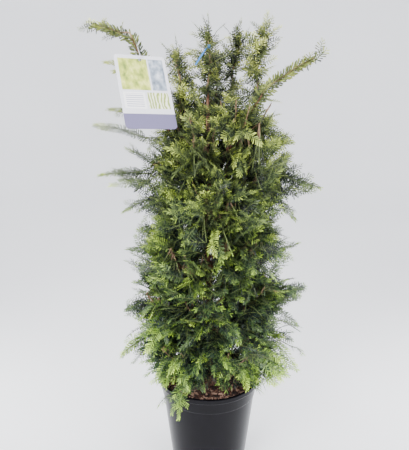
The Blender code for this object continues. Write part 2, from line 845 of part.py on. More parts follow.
def fill_core(mass, outward, sprays):
    """Sprays that stand out of the core, each as long as its place in the outline lets it be."""
    middle = mass.cells[mass.name]
    made = 0
    for heading in outer_headings(mass, outward, sprays * HEADINGS_TRIED):
        surface = mass.core.ray_cast(middle, heading)[0]
        swept = (heading + UP * UPWARD_SWEEP).normalized()
        for size in CORE_SPRAY_SIZES:
            if not inside_outline(surface + swept * (SPRAY_LENGTH * size - CORE_SPRAY_ROOT)):
                continue
            if mass.add_side_spray(surface, swept, size, CORE_SPRAY_ROOT, CORE_SPRAY_TEETH):
                made += 1
                break
        if made == sprays:
            break


def add_far_tips(mass, stem):
    """Longer twigs for the tips that lie in the mass's own space."""
    for far in FAR_TIPS:
        tip = sideways(far.azimuth) * far.reach + UP * far.height
        if min(mass.cells, key=lambda name: (mass.cells[name] - tip).length) != mass.name:
            continue
        foot = stem[-1]
        mass.add_spray(foot, tip, FAR_TIP_SIZE, FAR_TIP_SWEEP)
        run = (tip - foot).normalized()
        across = run.cross(UP).normalized()
        for sign, share in FAR_SIDE_SHARES.items():
            heading = (run + across * sign * FAR_SIDE_SPREAD).normalized()
            mass.add_side_spray(foot.lerp(tip, share), heading, FAR_SIDE_SIZE)


def grow_tier(tier, obstacles, stems, cells, parts, materials):
    """The masses of one tier."""
    for i in range(tier.masses):
        name = f"{tier.name}_{i + 1}"
        mass = Mass(name, cells, obstacles(name), SEED + 7 * i + round(1000 * tier.height))
        out = (cells[name] - crown_axis(cells[name].z)).normalized()
        mass.add_stem(stems[name])
        add_far_tips(mass, stems[name].points)
        if add_core(mass, -out):
            fill_core(mass, out, tier.sprays)
        else:
            fill_stem(mass, stems[name].points, out, tier.sprays)
        mass.finish(parts, materials["light" if tier.height < NEW_GROWTH_HEIGHT else "dark"])


def add_core(mass, inward):
    """A core that is pulled in wherever a limb of another owner would be too close to it."""
    form = core_form(mass.cells, mass.name, inward, mass.luck)
    middle = mass.cells[mass.name]
    for _ in range(CORE_TRIES):
        crowded = [(place - middle).normalized() for place in mass.crowding(form)]
        if not crowded:
            break
        for vert in form.verts:
            heading = (vert.co - middle).normalized()
            if max(heading.dot(other) for other in crowded) > CORE_PULL_WIDTH:
                vert.co = middle.lerp(vert.co, CORE_PULL)
    mass.core = BVHTree.FromBMesh(form)
    if not mass.keep(form):
        mass.core = None
    return mass.core


def grow_leader(leader, obstacles, stems, cells, parts, materials):
    """A leader with sprays all round its stem, which get shorter towards its tip."""
    tip = Vector(leader.tip)
    mass = Mass(leader.name, cells, obstacles(leader.name), SEED + round(1000 * tip.z))
    stem = stems[leader.name]
    mass.add_stem(stem)
    foot = stem.points[-1].lerp(stem.points[-2], LEADER_TIP_SHARE)
    for size in LEADER_TIP_SIZES:
        if mass.add_spray(foot, tip, size):
            break
    places, _ = limb_samples(stem, 1)
    turn = mass.luck.uniform(0.0, 360.0)
    for i in range(leader.sprays):
        share = i / leader.sprays
        place = Vector(places[round(share * (len(places) - 1))])
        heading = (sideways(turn + GOLDEN_ANGLE * i) + UP * LEADER_SWEEP).normalized()
        for size in LEADER_SPRAY_SIZES:
            shorter = size * (1.0 - LEADER_TAPER * share)
            if mass.add_side_spray(place, heading, shorter, teeth=CORE_SPRAY_TEETH):
                break
    add_far_tips(mass, stem.points)
    mass.finish(parts, materials["dark"])


def shoot_path(shoot):
    """Points along the arch from foot to tip."""
    foot = hang_point() + Vector(shoot.heading).normalized() * TIE_TO_FOOT
    if shoot.foot:
        foot = Vector(shoot.foot)
    tip = Vector(shoot.tip)
    points = []
    for i in range(SHOOT_STEPS + 1):
        share = i / (SHOOT_STEPS + 1)
        points.append(foot.lerp(tip, share) + UP * shoot.arch * math.sin(math.pi * share))
    return points


def grow_shoot(shoot, obstacles, stems, cells, parts, materials):
    """A slender shoot with sprays in pairs along it."""
    mass = Mass(shoot.name, cells, obstacles(shoot.name), SEED + round(1000 * shoot.root))
    mass.add_stem(stems[shoot.name])
    stem = stems[shoot.name].points
    for i, place in enumerate(stem[2:]):
        run = (place - stem[i + 1]).normalized()
        across = run.cross(UP).normalized()
        size = SHOOT_SPRAY_SIZE - SHOOT_TAPER * i
        for sign, foot in ((1, place - run * SHOOT_SPRAY_STEP), (-1, place)):
            tilt = UP * mass.luck.uniform(*SHOOT_TILTS)
            mass.add_side_spray(foot, (run + across * sign * SHOOT_SPREAD + tilt).normalized(), size)
    mass.add_spray(stem[-1].lerp(stem[-2], SHOOT_TIP_SHARE), Vector(shoot.tip), SHOOT_TIP_SIZE, sweep=0.0)
    mass.finish(parts, materials["dark"])


def plan_stem(foot, heading, way, holder, others):
    """The first of a fan of stems through a mass that is clear of the other limbs, or the clearest."""
    radii = [BOUGH_TIP_RADIUS] * (len(way) + 1) + [STEM_TIP_RADIUS]
    best, best_room = None, -math.inf
    for size in STEM_SHIFTS:
        for turn in range(0, 360, STEM_TURN):
            shift = sideways(turn) * size
            points = [foot, foot + heading * STEM_FOOT] + [place + shift for place in way]
            stem = Limb(points, radii)
            room = min(limb_room(stem, 0, others), limb_room(stem, 1, [holder]))
            if room > LIMB_CLEARANCE:
                return stem
            if room > best_room:
                best, best_room = stem, room
    return best


def plan_stems(trunk, boughs, cells):
    """The stem of each mass, from its bough's tip or, at the skirt, from the trunk."""
    stems = {}

    def place(name, limb, way):
        heading = (limb.points[-1] - limb.points[-2]).normalized()
        start_from(name, limb, limb.points[-1] + heading * GAP, heading, way)

    def start_from(name, holder, foot, heading, way):
        others = [limb for limb in (trunk, *boughs.values()) if limb is not holder]
        stems[name] = plan_stem(foot, heading, way, holder, others + list(stems.values()))

    for leader in LEADERS:
        top = Vector(leader.tip) - UP * LEADER_TIP_ROOM
        place(leader.name, boughs.get(leader.name, trunk), [cells[leader.name], top])
    for shoot in SHOOTS:
        place(shoot.name, boughs[shoot.name], shoot_path(shoot)[1:])
    for tier in TIERS:
        for i in range(tier.masses):
            name = f"{tier.name}_{i + 1}"
            if name in boughs:
                place(name, boughs[name], [cells[name]])
                continue
            root, along, trunk_radius = trunk_at(trunk, cells[name].z - SKIRT_STEM_DROP)
            out = cells[name] - crown_axis(cells[name].z)
            heading = (out - along * out.dot(along)).normalized()
            start_from(name, trunk, root + heading * (trunk_radius + GAP), heading, [cells[name]])
    return stems


def plan_boughs(trunk, cells):
    """One bough for each mass above the skirt, apart from the one at the trunk's tip."""
    boughs = {}

    def place(name, root_height, end, heading):
        boughs[name] = plan_bough(trunk, list(boughs.values()), root_height, end, heading.normalized())

    for leader in LEADERS[1:]:
        place(leader.name, leader.root, cells[leader.name] - UP * LEADER_FOOT_DROP, UP)
    for shoot in SHOOTS:
        place(shoot.name, shoot.root, shoot_path(shoot)[0], Vector(shoot.heading))
    for tier in reversed(TIERS[1:]):
        for i in range(tier.masses):
            name = f"{tier.name}_{i + 1}"
            height = cells[name].z
            out = (cells[name] - crown_axis(height)).normalized()
            end = crown_axis(height - BOUGH_END_DROP) + out * tier.radius * BOUGH_END_SHARE
            place(name, height - tier.rise, end, out * BOUGH_END_SLOPE + UP)
    return boughs


def make_card(parts, materials):
    """A thin plate with round corners and a hole near its top edge."""
    curve = bpy.data.curves.new("label_card", "CURVE")
    curve.dimensions = "2D"
    curve.fill_mode = "BOTH"
    curve.extrude = CARD_THICKNESS / 2
    outline = []
    corners = ((1, 1), (-1, 1), (-1, -1), (1, -1))
    for quarter, (x_side, y_side) in enumerate(corners):
        middle = Vector((x_side * (CARD_WIDTH / 2 - CARD_CORNER), y_side * (CARD_HEIGHT / 2 - CARD_CORNER)))
        for i in range(CARD_CORNER_STEPS + 1):
            angle = math.radians(90 * (quarter + i / CARD_CORNER_STEPS))
            outline.append(middle + CARD_CORNER * Vector((math.cos(angle), math.sin(angle))))
    hole = []
    for i in range(CARD_HOLE_SIDES):
        angle = -math.tau * i / CARD_HOLE_SIDES
        centre = Vector((0.0, CARD_HEIGHT / 2 - CARD_HOLE_DROP))
        hole.append(centre + CARD_HOLE_RADIUS * Vector((math.cos(angle), math.sin(angle))))
    for points in (outline, hole):
        spline = curve.splines.new("POLY")
        spline.use_cyclic_u = True
        spline.points.add(len(points) - 1)
        for point, place in zip(spline.points, points):
            point.co = (place.x, place.y, 0.0, 1.0)
    card = bpy.data.objects.new("label_card", curve)
    parts.objects.link(card)
    curve.materials.append(materials["card"])
    card.matrix_world = card_frame() @ Matrix.Rotation(math.radians(90), 4, "X")
    return card


def plan_tie(bough):
    """A long loop through the card's hole and over the left shoot's bough."""
    hole = card_hole()
    low, high = bough.points[-2], bough.points[-1]
    share = (hang_point() - low).dot(high - low) / (high - low).length_squared
    hold = low.lerp(high, share)
    span = (hold - hole).normalized()
    across = card_frame().to_3x3() @ Vector((0.0, 1.0, 0.0))
    across = (across - span * across.dot(span)).normalized()
    bough_radius = bough.radii[-2] + (bough.radii[-1] - bough.radii[-2]) * share
    squareness = abs((high - low).normalized().dot(span.cross(across)))
    half_width = bough_radius / squareness + TIE_RADIUS + GAP + TIE_SLACK
    bottom = hole + span * (CARD_HOLE_RADIUS - TIE_RADIUS - 2 * GAP)
    points = []
    for middle, first in ((hold, 0.0), (bottom + span * half_width, math.pi)):
        for i in range(TIE_ARC_STEPS + 1):
            angle = first + math.pi * i / TIE_ARC_STEPS
            points.append(middle + (across * math.cos(angle) + span * math.sin(angle)) * half_width)
    return Limb(points + points[:1], [TIE_RADIUS] * (len(points) + 1))


def make_tie(tie, parts, materials):
    open_tie = Limb(tie.points[:-1], tie.radii[:-1])
    obj = make_limb("label_tie", open_tie, parts, materials["tie"], TIE_BEVEL)
    obj.data.splines[0].use_cyclic_u = True
    obj.data.use_fill_caps = False
    return obj


def plan_tag(stem):
    """The strip as two thick limbs: a collar round the stem, and a tail."""
    lower, upper = stem.points[-2:]
    middle = lower.lerp(upper, (TAG_HEIGHT - lower.z) / (upper.z - lower.z))
    half = UP * (TAG_COLLAR_DEPTH / 2)
    slope = math.radians(TAG_TAIL_SLOPE)
    heading = sideways(TAG_AZIMUTH) * math.cos(slope) - UP * math.sin(slope)
    foot = middle + sideways(TAG_AZIMUTH) * (TAG_COLLAR_RADIUS - TAG_THICKNESS / 2)
    collar = Limb([middle - half, middle + half], [TAG_COLLAR_RADIUS] * 2)
    return collar, Limb([foot, foot + heading * TAG_TAIL_LENGTH], [TAG_WIDTH / 2] * 2)


def make_tag(plan, parts, materials):
    """A strip whose one end is closed round the leader's stem as a collar."""
    helpers = make_collection("Strip helpers", hidden=True)
    middle = plan[0].points[0].lerp(plan[0].points[1], 0.5)
    foot, tip = plan[1].points
    collar = cylinder("blue_strip", TAG_COLLAR_RADIUS, TAG_COLLAR_DEPTH, TAG_SIDES)
    tag = add_mesh("blue_strip", collar, parts, materials["tag"])
    tag.location = middle
    tail = bmesh.new()
    bmesh.ops.create_cube(tail, size=1.0)
    heading = (tip - foot).normalized()
    side = UP.cross(heading).normalized()
    turn = Matrix((side, heading, side.cross(heading))).transposed().to_4x4()
    size = Matrix.Diagonal((TAG_WIDTH, TAG_TAIL_LENGTH, TAG_THICKNESS, 1.0))
    tail.transform(Matrix.Translation((foot + tip) / 2) @ turn @ size)
    mesh = bpy.data.meshes.new("strip_tail")
    tail.to_mesh(mesh)
    tail.free()
    join = tag.modifiers.new("Tail", "BOOLEAN")
    join.operation = "UNION"
    join.object = add_cutter("strip_tail", mesh, helpers)
    rod = cylinder("strip_bore", TAG_BORE_RADIUS, 4 * TAG_COLLAR_DEPTH, TAG_SIDES)
    bore = add_cutter("strip_bore", rod, helpers)
    bore.location = middle
    cut = tag.modifiers.new("Bore", "BOOLEAN")
    cut.operation = "DIFFERENCE"
    cut.object = bore
    return tag


def build():
    clear_scene()
    materials = make_materials()
    parts = make_collection("Potted Yew")
    cutters = make_collection("Cutters", hidden=True)
    make_pot(parts, cutters, materials)
    make_soil(parts, materials)
    trunk = plan_trunk()
    cells = plan_cells()
    boughs = plan_boughs(trunk, cells)
    stems = plan_stems(trunk, boughs, cells)
    tie = plan_tie(boughs["shoot_left"])
    tag = plan_tag(stems["top_middle"])
    make_limb("trunk", trunk, parts, materials["bark"], TRUNK_BEVEL)
    for name, limb in boughs.items():
        make_limb(f"bough_{name}", limb, parts, materials["bark"], BOUGH_BEVEL)
    make_card(parts, materials)
    make_tie(tie, parts, materials)
    make_tag(tag, parts, materials)

    def obstacles(name):
        """Every limb, the tie, the strip and the stems of the other masses."""
        others = [stem for owner, stem in stems.items() if owner != name]
        return [trunk, *boughs.values(), tie, *tag, *others]

    for tier in TIERS:
        grow_tier(tier, obstacles, stems, cells, parts, materials)
    for leader in LEADERS:
        grow_leader(leader, obstacles, stems, cells, parts, materials)
    for shoot in SHOOTS:
        grow_shoot(shoot, obstacles, stems, cells, parts, materials)


build()
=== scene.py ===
import math
import random

import bmesh
import bpy
import numpy as np
from mathutils import Matrix, Vector, geometry, noise


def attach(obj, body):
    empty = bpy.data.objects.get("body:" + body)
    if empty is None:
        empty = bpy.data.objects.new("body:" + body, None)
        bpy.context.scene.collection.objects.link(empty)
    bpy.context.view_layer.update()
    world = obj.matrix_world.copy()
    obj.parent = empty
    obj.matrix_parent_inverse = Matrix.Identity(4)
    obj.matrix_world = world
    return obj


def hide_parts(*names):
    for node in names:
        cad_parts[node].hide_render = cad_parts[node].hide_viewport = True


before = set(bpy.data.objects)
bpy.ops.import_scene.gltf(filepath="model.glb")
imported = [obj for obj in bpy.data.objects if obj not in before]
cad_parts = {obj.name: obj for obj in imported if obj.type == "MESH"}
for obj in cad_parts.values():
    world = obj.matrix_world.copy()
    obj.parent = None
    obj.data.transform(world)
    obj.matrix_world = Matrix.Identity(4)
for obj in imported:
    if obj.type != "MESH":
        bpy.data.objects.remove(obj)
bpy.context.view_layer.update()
up = Vector((0.0, 0.0, 1.0))
gap = 0.0003  # left clear where one limb starts on another


def table(keys, rows):  # rows of values as dictionaries with the same keys
    return {name: dict(zip(keys.split(), row)) for name, row in rows.items()}


# The limbs are planned by the rule that the solids' limbs follow.
trunkSet = dict(foot=0.204, top=0.905, footRadius=0.0115, tipRadius=0.0026, flare=1.55, flareHeight=0.03,
                lean=-0.008, wobble=0.0045, sideWaves=2.6, depthWaves=2.1, depthShare=0.7, taper=0.8,
                steps=12)
boughSet = dict(steps=4, tipRadius=0.0021, rootRadius=0.0032, thickening=0.0085, thickFrom=0.12,
                clearance=0.0012, sampleStep=0.003, elbow=1.5, outRun=0.28, endRun=0.34, belowLeader=0.065,
                belowMass=0.034, intoMass=0.56, outward=0.75, rises=(0.0, -0.018, 0.018, -0.036, 0.036),
                turns=(0, 24, -24, 48, -48, 72, -72, 96, -96))
stemSet = dict(foot=0.012, tipRadius=0.0018, belowTip=0.045, belowCell=0.035,
               shifts=(0.0, 0.012, 0.024, 0.036), turns=range(0, 360, 45))
crownSet = {"heights": (0.19, 0.29, 0.42, 0.56, 0.72, 0.82, 0.9, 0.98, 1.07),
            "offsets": (0.006, 0.008, 0.004, 0.008, 0.016, 0.018, 0.026, 0.032, 0.036)}
tiers = table("height masses radius azimuth rise stagger", {
    "skirt": (0.29, 5, 0.106, -128.0, 0.0, 0.0),
    "low": (0.41, 5, 0.098, -92.0, 0.125, 0.012),
    "middle": (0.54, 4, 0.086, -135.0, 0.15, 0.02),
    "upper": (0.675, 4, 0.08, -90.0, 0.165, 0.02),
    "high": (0.805, 4, 0.076, -130.0, 0.17, 0.016),
})
leaders = table("middle tip root", {
    "top_middle": ((0.002, -0.022, 0.965), (-0.004, -0.024, 1.056), 0.0),
    "top_right": ((0.1, -0.004, 0.95), (0.118, -0.004, 1.06), 0.7),
    "top_inner": ((0.05, 0.03, 0.945), (0.066, 0.04, 1.046), 0.72),
    "top_left": ((-0.062, 0.006, 0.93), (-0.07, 0.006, 1.015), 0.72),
    "top_back": ((0.016, 0.088, 0.925), (0.014, 0.1, 1.005), 0.69),
})
shoots = table("root foot heading tip arch", {
    "shoot_left": (0.735, None, (-0.6, -0.45, 0.65), (-0.254, -0.03, 1.037), 0.006),
    "shoot_right": (0.755, (0.108, -0.062, 0.905), (0.55, -0.05, 0.55), (0.242, -0.06, 0.984), 0.012),
})
cardSet = dict(width=0.11, height=0.16, thickness=0.001, corner=0.008, hole=0.0032, holeDrop=0.01,
               middle=(-0.1275, -0.084, 0.909), turn=(-31.0, 4.2, 28.1), tieReach=0.038, tieToFoot=0.014)


def sideways(azimuth):
    angle = math.radians(azimuth)
    return Vector((math.cos(angle), math.sin(angle), 0.0))


def crownAxis(height):
    return Vector((float(np.interp(height, crownSet["heights"], crownSet["offsets"])), 0.0, height))


def cardFrame():
    turn = Matrix.Identity(4)
    for angle, axis in zip(reversed(cardSet["turn"]), "ZYX"):
        turn = turn @ Matrix.Rotation(math.radians(angle), 4, axis)
    return Matrix.Translation(cardSet["middle"]) @ turn


def hangPoint():
    return cardFrame() @ Vector((0.0, 0.0, cardSet["height"] / 2 - cardSet["holeDrop"] + cardSet["tieReach"]))


def shootPath(shoot):  # the left shoot starts just past the card's tie
    if shoot["foot"]:
        foot = Vector(shoot["foot"])
    else:
        foot = hangPoint() + Vector(shoot["heading"]).normalized() * cardSet["tieToFoot"]
    path = []
    for i in range(4):
        share = i / 4
        path.append(foot.lerp(Vector(shoot["tip"]), share) + up * shoot["arch"] * math.sin(math.pi * share))
    return path


def planTrunk():
    s = trunkSet
    foot = s["foot"] + gap
    points, radii = [Vector((0.0, 0.0, foot))], [s["footRadius"] * s["flare"]]
    for i in range(s["steps"]):
        share = i / (s["steps"] - 1)
        height = foot + s["flareHeight"] + (s["top"] - foot - s["flareHeight"]) * share
        side = s["lean"] * share + s["wobble"] * math.sin(s["sideWaves"] * math.pi * share)
        depth = s["wobble"] * (1.0 - math.cos(s["depthWaves"] * math.pi * share)) * s["depthShare"]
        points.append(Vector((side, depth, height)))
        radii.append(s["tipRadius"] + (s["footRadius"] - s["tipRadius"]) * (1.0 - share) ** s["taper"])
    return points, radii


def trunkAt(trunk, height):
    points, radii = trunk
    for i in range(len(points) - 1):
        if points[i + 1].z >= height:
            break
    low, high = points[i], points[i + 1]
    share = (height - low.z) / (high.z - low.z)
    return low.lerp(high, share), (high - low).normalized(), radii[i] + (radii[i + 1] - radii[i]) * share


def limbSamples(limb, first=0):
    points, radii = limb
    places, sizes = [], []
    for i in range(first, len(points) - 1):
        steps = math.ceil((points[i + 1] - points[i]).length / boughSet["sampleStep"])
        for step in range(steps + 1):
            places.append(tuple(points[i].lerp(points[i + 1], step / steps)))
            sizes.append(radii[i] + (radii[i + 1] - radii[i]) * step / steps)
    return np.array(places), np.array(sizes)


def limbRoom(limb, first, others):  # least bark to bark distance
    places, sizes = limbSamples(limb, first)
    least = math.inf
    for points, radii in others:
        for i in range(len(points) - 1):
            foot = np.array(points[i])
            run = np.array(points[i + 1]) - foot
            share = np.clip((places - foot) @ run / (run @ run), 0.0, 1.0)
            away = np.linalg.norm(places - foot - share[:, None] * run, axis=1)
            least = min(least, float((away - sizes - radii[i] - (radii[i + 1] - radii[i]) * share).min()))
    return least


def bezier(a, b, c, d, share):
    rest = 1.0 - share
    return a * rest**3 + b * (3 * rest * rest * share) + c * (3 * rest * share * share) + d * share**3


def roomiest(choices):  # the first limb with clear room all round, or else the one with the most
    best, bestRoom = None, -math.inf
    for limb, room in choices:
        if room > boughSet["clearance"]:
            return limb
        if room > bestRoom:
            best, bestRoom = limb, room
    return best


def boughLimb(trunk, rootHeight, turn, end, heading):
    b = boughSet
    root, along, trunkRadius = trunkAt(trunk, rootHeight)
    out = Vector((end.x - root.x, end.y - root.y, 0.0))
    out.rotate(Matrix.Rotation(math.radians(turn), 3, "Z"))
    out = (out - along * out.dot(along)).normalized()
    length = (end - root).length
    rootRadius = b["rootRadius"] + b["thickening"] * max(0.0, length - b["thickFrom"])
    start = root + out * (trunkRadius + gap)
    elbow = start + out * b["elbow"] * rootRadius
    away, back = out * b["outRun"] * length, heading * b["endRun"] * length
    points = [start]
    for i in range(b["steps"]):
        points.append(bezier(elbow, elbow + away, end - back, end, i / (b["steps"] - 1)))
    last = len(points) - 1
    return points, [rootRadius + (b["tipRadius"] - rootRadius) * i / last for i in range(last + 1)]


def planBough(trunk, others, rootHeight, end, heading):
    def choices():
        for rise in boughSet["rises"]:
            for turn in boughSet["turns"]:
                points, radii = boughLimb(trunk, rootHeight + rise, turn, end, heading)
                foot = points[-1] + (points[-1] - points[-2]).normalized() * stemSet["foot"]
                longer = (points + [foot], radii + [radii[-1]])
                yield (points, radii), min(limbRoom(longer, 0, others), limbRoom(longer, 2, [trunk]))

    return roomiest(choices())


def massNames(tier):
    return [f"{tier}_{i + 1}" for i in range(tiers[tier]["masses"])]


def planCells():  # the middle of each mass's own space
    cells = {}
    for tier, t in tiers.items():
        for i, name in enumerate(massNames(tier)):
            out = sideways(t["azimuth"] + 360.0 * i / t["masses"])
            height = t["height"] + (t["stagger"] if i % 2 else -t["stagger"])
            cells[name] = crownAxis(height) + out * t["radius"]
    for name, leader in leaders.items():
        cells[name] = Vector(leader["middle"])
    for name, shoot in shoots.items():
        cells[name] = shootPath(shoot)[0].lerp(Vector(shoot["tip"]), 0.5)
    return cells


def planBoughs(trunk, cells):
    b = boughSet
    boughs = {}

    def place(name, rootHeight, end, heading):
        boughs[name] = planBough(trunk, list(boughs.values()), rootHeight, end, heading.normalized())

    for name, leader in leaders.items():
        if leader["root"]:
            place(name, leader["root"], cells[name] - up * b["belowLeader"], up)
    for name, shoot in shoots.items():
        place(name, shoot["root"], shootPath(shoot)[0], Vector(shoot["heading"]))
    for tier in reversed(list(tiers)[1:]):  # the skirt's masses sit on the trunk
        for name in massNames(tier):
            height = cells[name].z
            out = (cells[name] - crownAxis(height)).normalized()
            end = crownAxis(height - b["belowMass"]) + out * tiers[tier]["radius"] * b["intoMass"]
            place(name, height - tiers[tier]["rise"], end, out * b["outward"] + up)
    return boughs


def planStem(foot, heading, way, holder, others):
    radii = [boughSet["tipRadius"]] * (len(way) + 1) + [stemSet["tipRadius"]]

    def choices():
        for size in stemSet["shifts"]:
            for turn in stemSet["turns"]:
                shift = sideways(turn) * size
                stem = ([foot, foot + heading * stemSet["foot"]] + [place + shift for place in way], radii)
                yield stem, min(limbRoom(stem, 0, others), limbRoom(stem, 1, [holder]))

    return roomiest(choices())


def planStems(trunk, boughs, cells):
    stems = {}

    def startFrom(name, holder, foot, heading, way):
        others = [limb for limb in (trunk, *boughs.values()) if limb is not holder]
        stems[name] = planStem(foot, heading, way, holder, others + list(stems.values()))

    def place(name, limb, way):
        heading = (limb[0][-1] - limb[0][-2]).normalized()
        startFrom(name, limb, limb[0][-1] + heading * gap, heading, way)

    for name, leader in leaders.items():
        top = Vector(leader["tip"]) - up * stemSet["belowTip"]
        place(name, boughs.get(name, trunk), [cells[name], top])
    for name, shoot in shoots.items():
        place(name, boughs[name], shootPath(shoot)[1:])
    for name in [name for tier in tiers for name in massNames(tier)]:
        if name in boughs:
            place(name, boughs[name], [cells[name]])
            continue
        root, along, trunkRadius = trunkAt(trunk, cells[name].z - stemSet["belowCell"])
        out = cells[name] - crownAxis(cells[name].z)
        heading = (out - along * out.dot(along)).normalized()
        startFrom(name, trunk, root + heading * (trunkRadius + gap), heading, [cells[name]])
    return stems


def addObject(name, data):
    obj = bpy.data.objects.new(name, data)
    bpy.context.scene.collection.objects.link(obj)
    return obj


def formObject(name, form, material):
    mesh = bpy.data.meshes.new(name)
    form.to_mesh(mesh)
    form.free()
    mesh.materials.append(material)
    return addObject(name, mesh)


def plainMesh(obj):  # what an object's modifiers make of it
    bpy.context.view_layer.update()
    graph = bpy.context.evaluated_depsgraph_get()
    return bpy.data.meshes.new_from_object(obj.evaluated_get(graph))


def spun(profile, steps):  # a profile of radii and heights, turned all round Z
    form = bmesh.new()
    rings = []
    for radius, height in profile:
        turns = [360.0 * i / steps for i in range(steps if radius else 1)]
        rings.append([form.verts.new(sideways(turn) * radius + up * height) for turn in turns])
    for low, high in zip(rings, rings[1:]):
        for i in range(steps):
            j = i + 1
            corners = (low[i % len(low)], high[i % len(high)], high[j % len(high)], low[j % len(low)])
            form.faces.new(list(dict.fromkeys(corners)))  # the middle counts once
    return form


def adder(tree):
    def add(kind, links=None, out=0, **settings):  # a node with its sockets filled, and one output of it
        node = tree.nodes.new(kind)
        for key, value in settings.items():
            setattr(node, key, value)
        for socket, value in (links or {}).items():
            if isinstance(value, bpy.types.NodeSocket):
                tree.links.new(value, node.inputs[socket])
            else:
                node.inputs[socket].default_value = value
        return node if out is None else node.outputs[out]

    return add


def calc(add, operation, *values):
    return add("ShaderNodeMath", dict(enumerate(values)), operation=operation)


def vectorCalc(add, operation, *values):
    return add("ShaderNodeVectorMath", dict(enumerate(values)), operation=operation)


def scaled(add, vector, amount):
    return add("ShaderNodeVectorMath", {0: vector, "Scale": amount}, operation="SCALE")


def anyNumber(add, low, high, seed):
    return add("FunctionNodeRandomValue", {2: low, 3: high, "Seed": seed}, 1, data_type="FLOAT")


def anyVector(add, low, high, seed):
    return add("FunctionNodeRandomValue", {0: low, 1: high, "Seed": seed}, data_type="FLOAT_VECTOR")


def stored(add, name, kind="FLOAT"):
    return add("GeometryNodeInputNamedAttribute", {"Name": name}, data_type=kind)


def store(add, points, name, value):
    return add("GeometryNodeStoreNamedAttribute", {"Geometry": points, "Name": name, "Value": value},
               data_type="FLOAT", domain="POINT")


def newTree(name, **inputs):
    tree = bpy.data.node_groups.new(name, "GeometryNodeTree")
    for label, kind in {"Geometry": "Geometry", **inputs}.items():
        tree.interface.new_socket(label, in_out="INPUT", socket_type=f"NodeSocket{kind}")
    tree.interface.new_socket("Geometry", in_out="OUTPUT", socket_type="NodeSocketGeometry")
    add = adder(tree)
    return tree, add, add("NodeGroupInput", out=None).outputs


def endTree(tree, add, shape, material):
    shape = add("GeometryNodeRealizeInstances", {0: shape})
    shape = add("GeometryNodeSetMaterial", {0: shape, "Material": material})
    tree.links.new(shape, add("NodeGroupOutput", out=None).inputs[0])
    return tree


def tubeOn(add, curve, sides):  # a closed tube with the radius of each point
    ring = add("GeometryNodeCurvePrimitiveCircle", {"Resolution": sides, "Radius": 1.0})
    size = stored(add, "radius")
    return add("GeometryNodeCurveToMesh",
               {"Curve": curve, "Profile Curve": ring, "Scale": size, "Fill Caps": True})


def copiesOn(add, points, shape, turn, size):
    shape = add("GeometryNodeObjectInfo", {"Object": shape}, "Geometry")
    return add("GeometryNodeInstanceOnPoints",
               {"Points": points, "Instance": shape, "Rotation": turn, "Scale": size})


def resampled(add, given, step):
    curve = add("GeometryNodeMeshToCurve", {0: given["Geometry"]})
    return add("GeometryNodeResampleCurve", {"Curve": curve, "Length": step}, mode="LENGTH")


def runTree(source, tree, values, name):  # the tree's result as a plain mesh of its own
    mod = source.modifiers.new("grow", "NODES")
    mod.node_group = tree
    for item in tree.interface.items_tree:
        if item.in_out == "INPUT" and item.name in values:
            mod[item.identifier] = values[item.name]
    mesh = plainMesh(source)
    mesh.name = name
    bpy.data.objects.remove(source)
    return addObject(name, mesh)


def newBook():
    return {"points": [], "edges": [], "radius": [], "shade": [], "needle": [], "lie": []}


def addPath(book, points, radii, shades, needles, lie):
    first = len(book["points"])
    for i, point in enumerate(points):
        book["points"].append(tuple(point))
        book["radius"].append(radii[i])
        book["shade"].append(shades[i])
        book["needle"].append(needles[i])
        book["lie"].append(tuple(lie))
        if i:
            book["edges"].append((first + i - 1, first + i))


def addBare(book, points, radii):
    zeros = [0.0] * len(points)
    addPath(book, points, radii, zeros, zeros, up)


def pathMesh(name, book):  # the paths as bare edges that carry what the trees need
    mesh = bpy.data.meshes.new(name)
    mesh.from_pydata(book["points"], book["edges"], [])
    for key in ("radius", "shade", "needle"):
        mesh.attributes.new(key, "FLOAT", "POINT").data.foreach_set("value", book[key])
    flat = [number for lie in book["lie"] for number in lie]
    mesh.attributes.new("lie", "FLOAT_VECTOR", "POINT").data.foreach_set("vector", flat)
    return addObject(name, mesh)


def woodTree():
    tree, add, given = newTree("woodOnPaths", Step="Float", Sides="Int", Relief="Float", Grain="Float",
                               Material="Material")
    tube = tubeOn(add, resampled(add, given, given["Step"]), given["Sides"])
    # long ridges: the noise is stretched along Z
    long = vectorCalc(add, "MULTIPLY", add("GeometryNodeInputPosition"), (1.0, 1.0, 0.22))
    ridges = {"Vector": long, "Scale": given["Grain"], "Detail": 3.0, "Roughness": 0.6}
    low = calc(add, "SUBTRACT", add("ShaderNodeTexNoise", ridges, "Fac"), 0.55)
    lift = calc(add, "MULTIPLY", calc(add, "MULTIPLY", low, given["Relief"]), stored(add, "radius"))
    offset = scaled(add, add("GeometryNodeInputNormal"), lift)
    tube = add("GeometryNodeSetPosition", {"Geometry": tube, "Offset": offset})
    return endTree(tree, add, add("GeometryNodeSetShadeSmooth", {0: tube}), given["Material"])


def twigTree():
    tree, add, given = newTree("twigsOnPaths", Sides="Int", Material="Material")
    tube = tubeOn(add, add("GeometryNodeMeshToCurve", {0: given["Geometry"]}), given["Sides"])
    return endTree(tree, add, add("GeometryNodeSetShadeSmooth", {0: tube}), given["Material"])


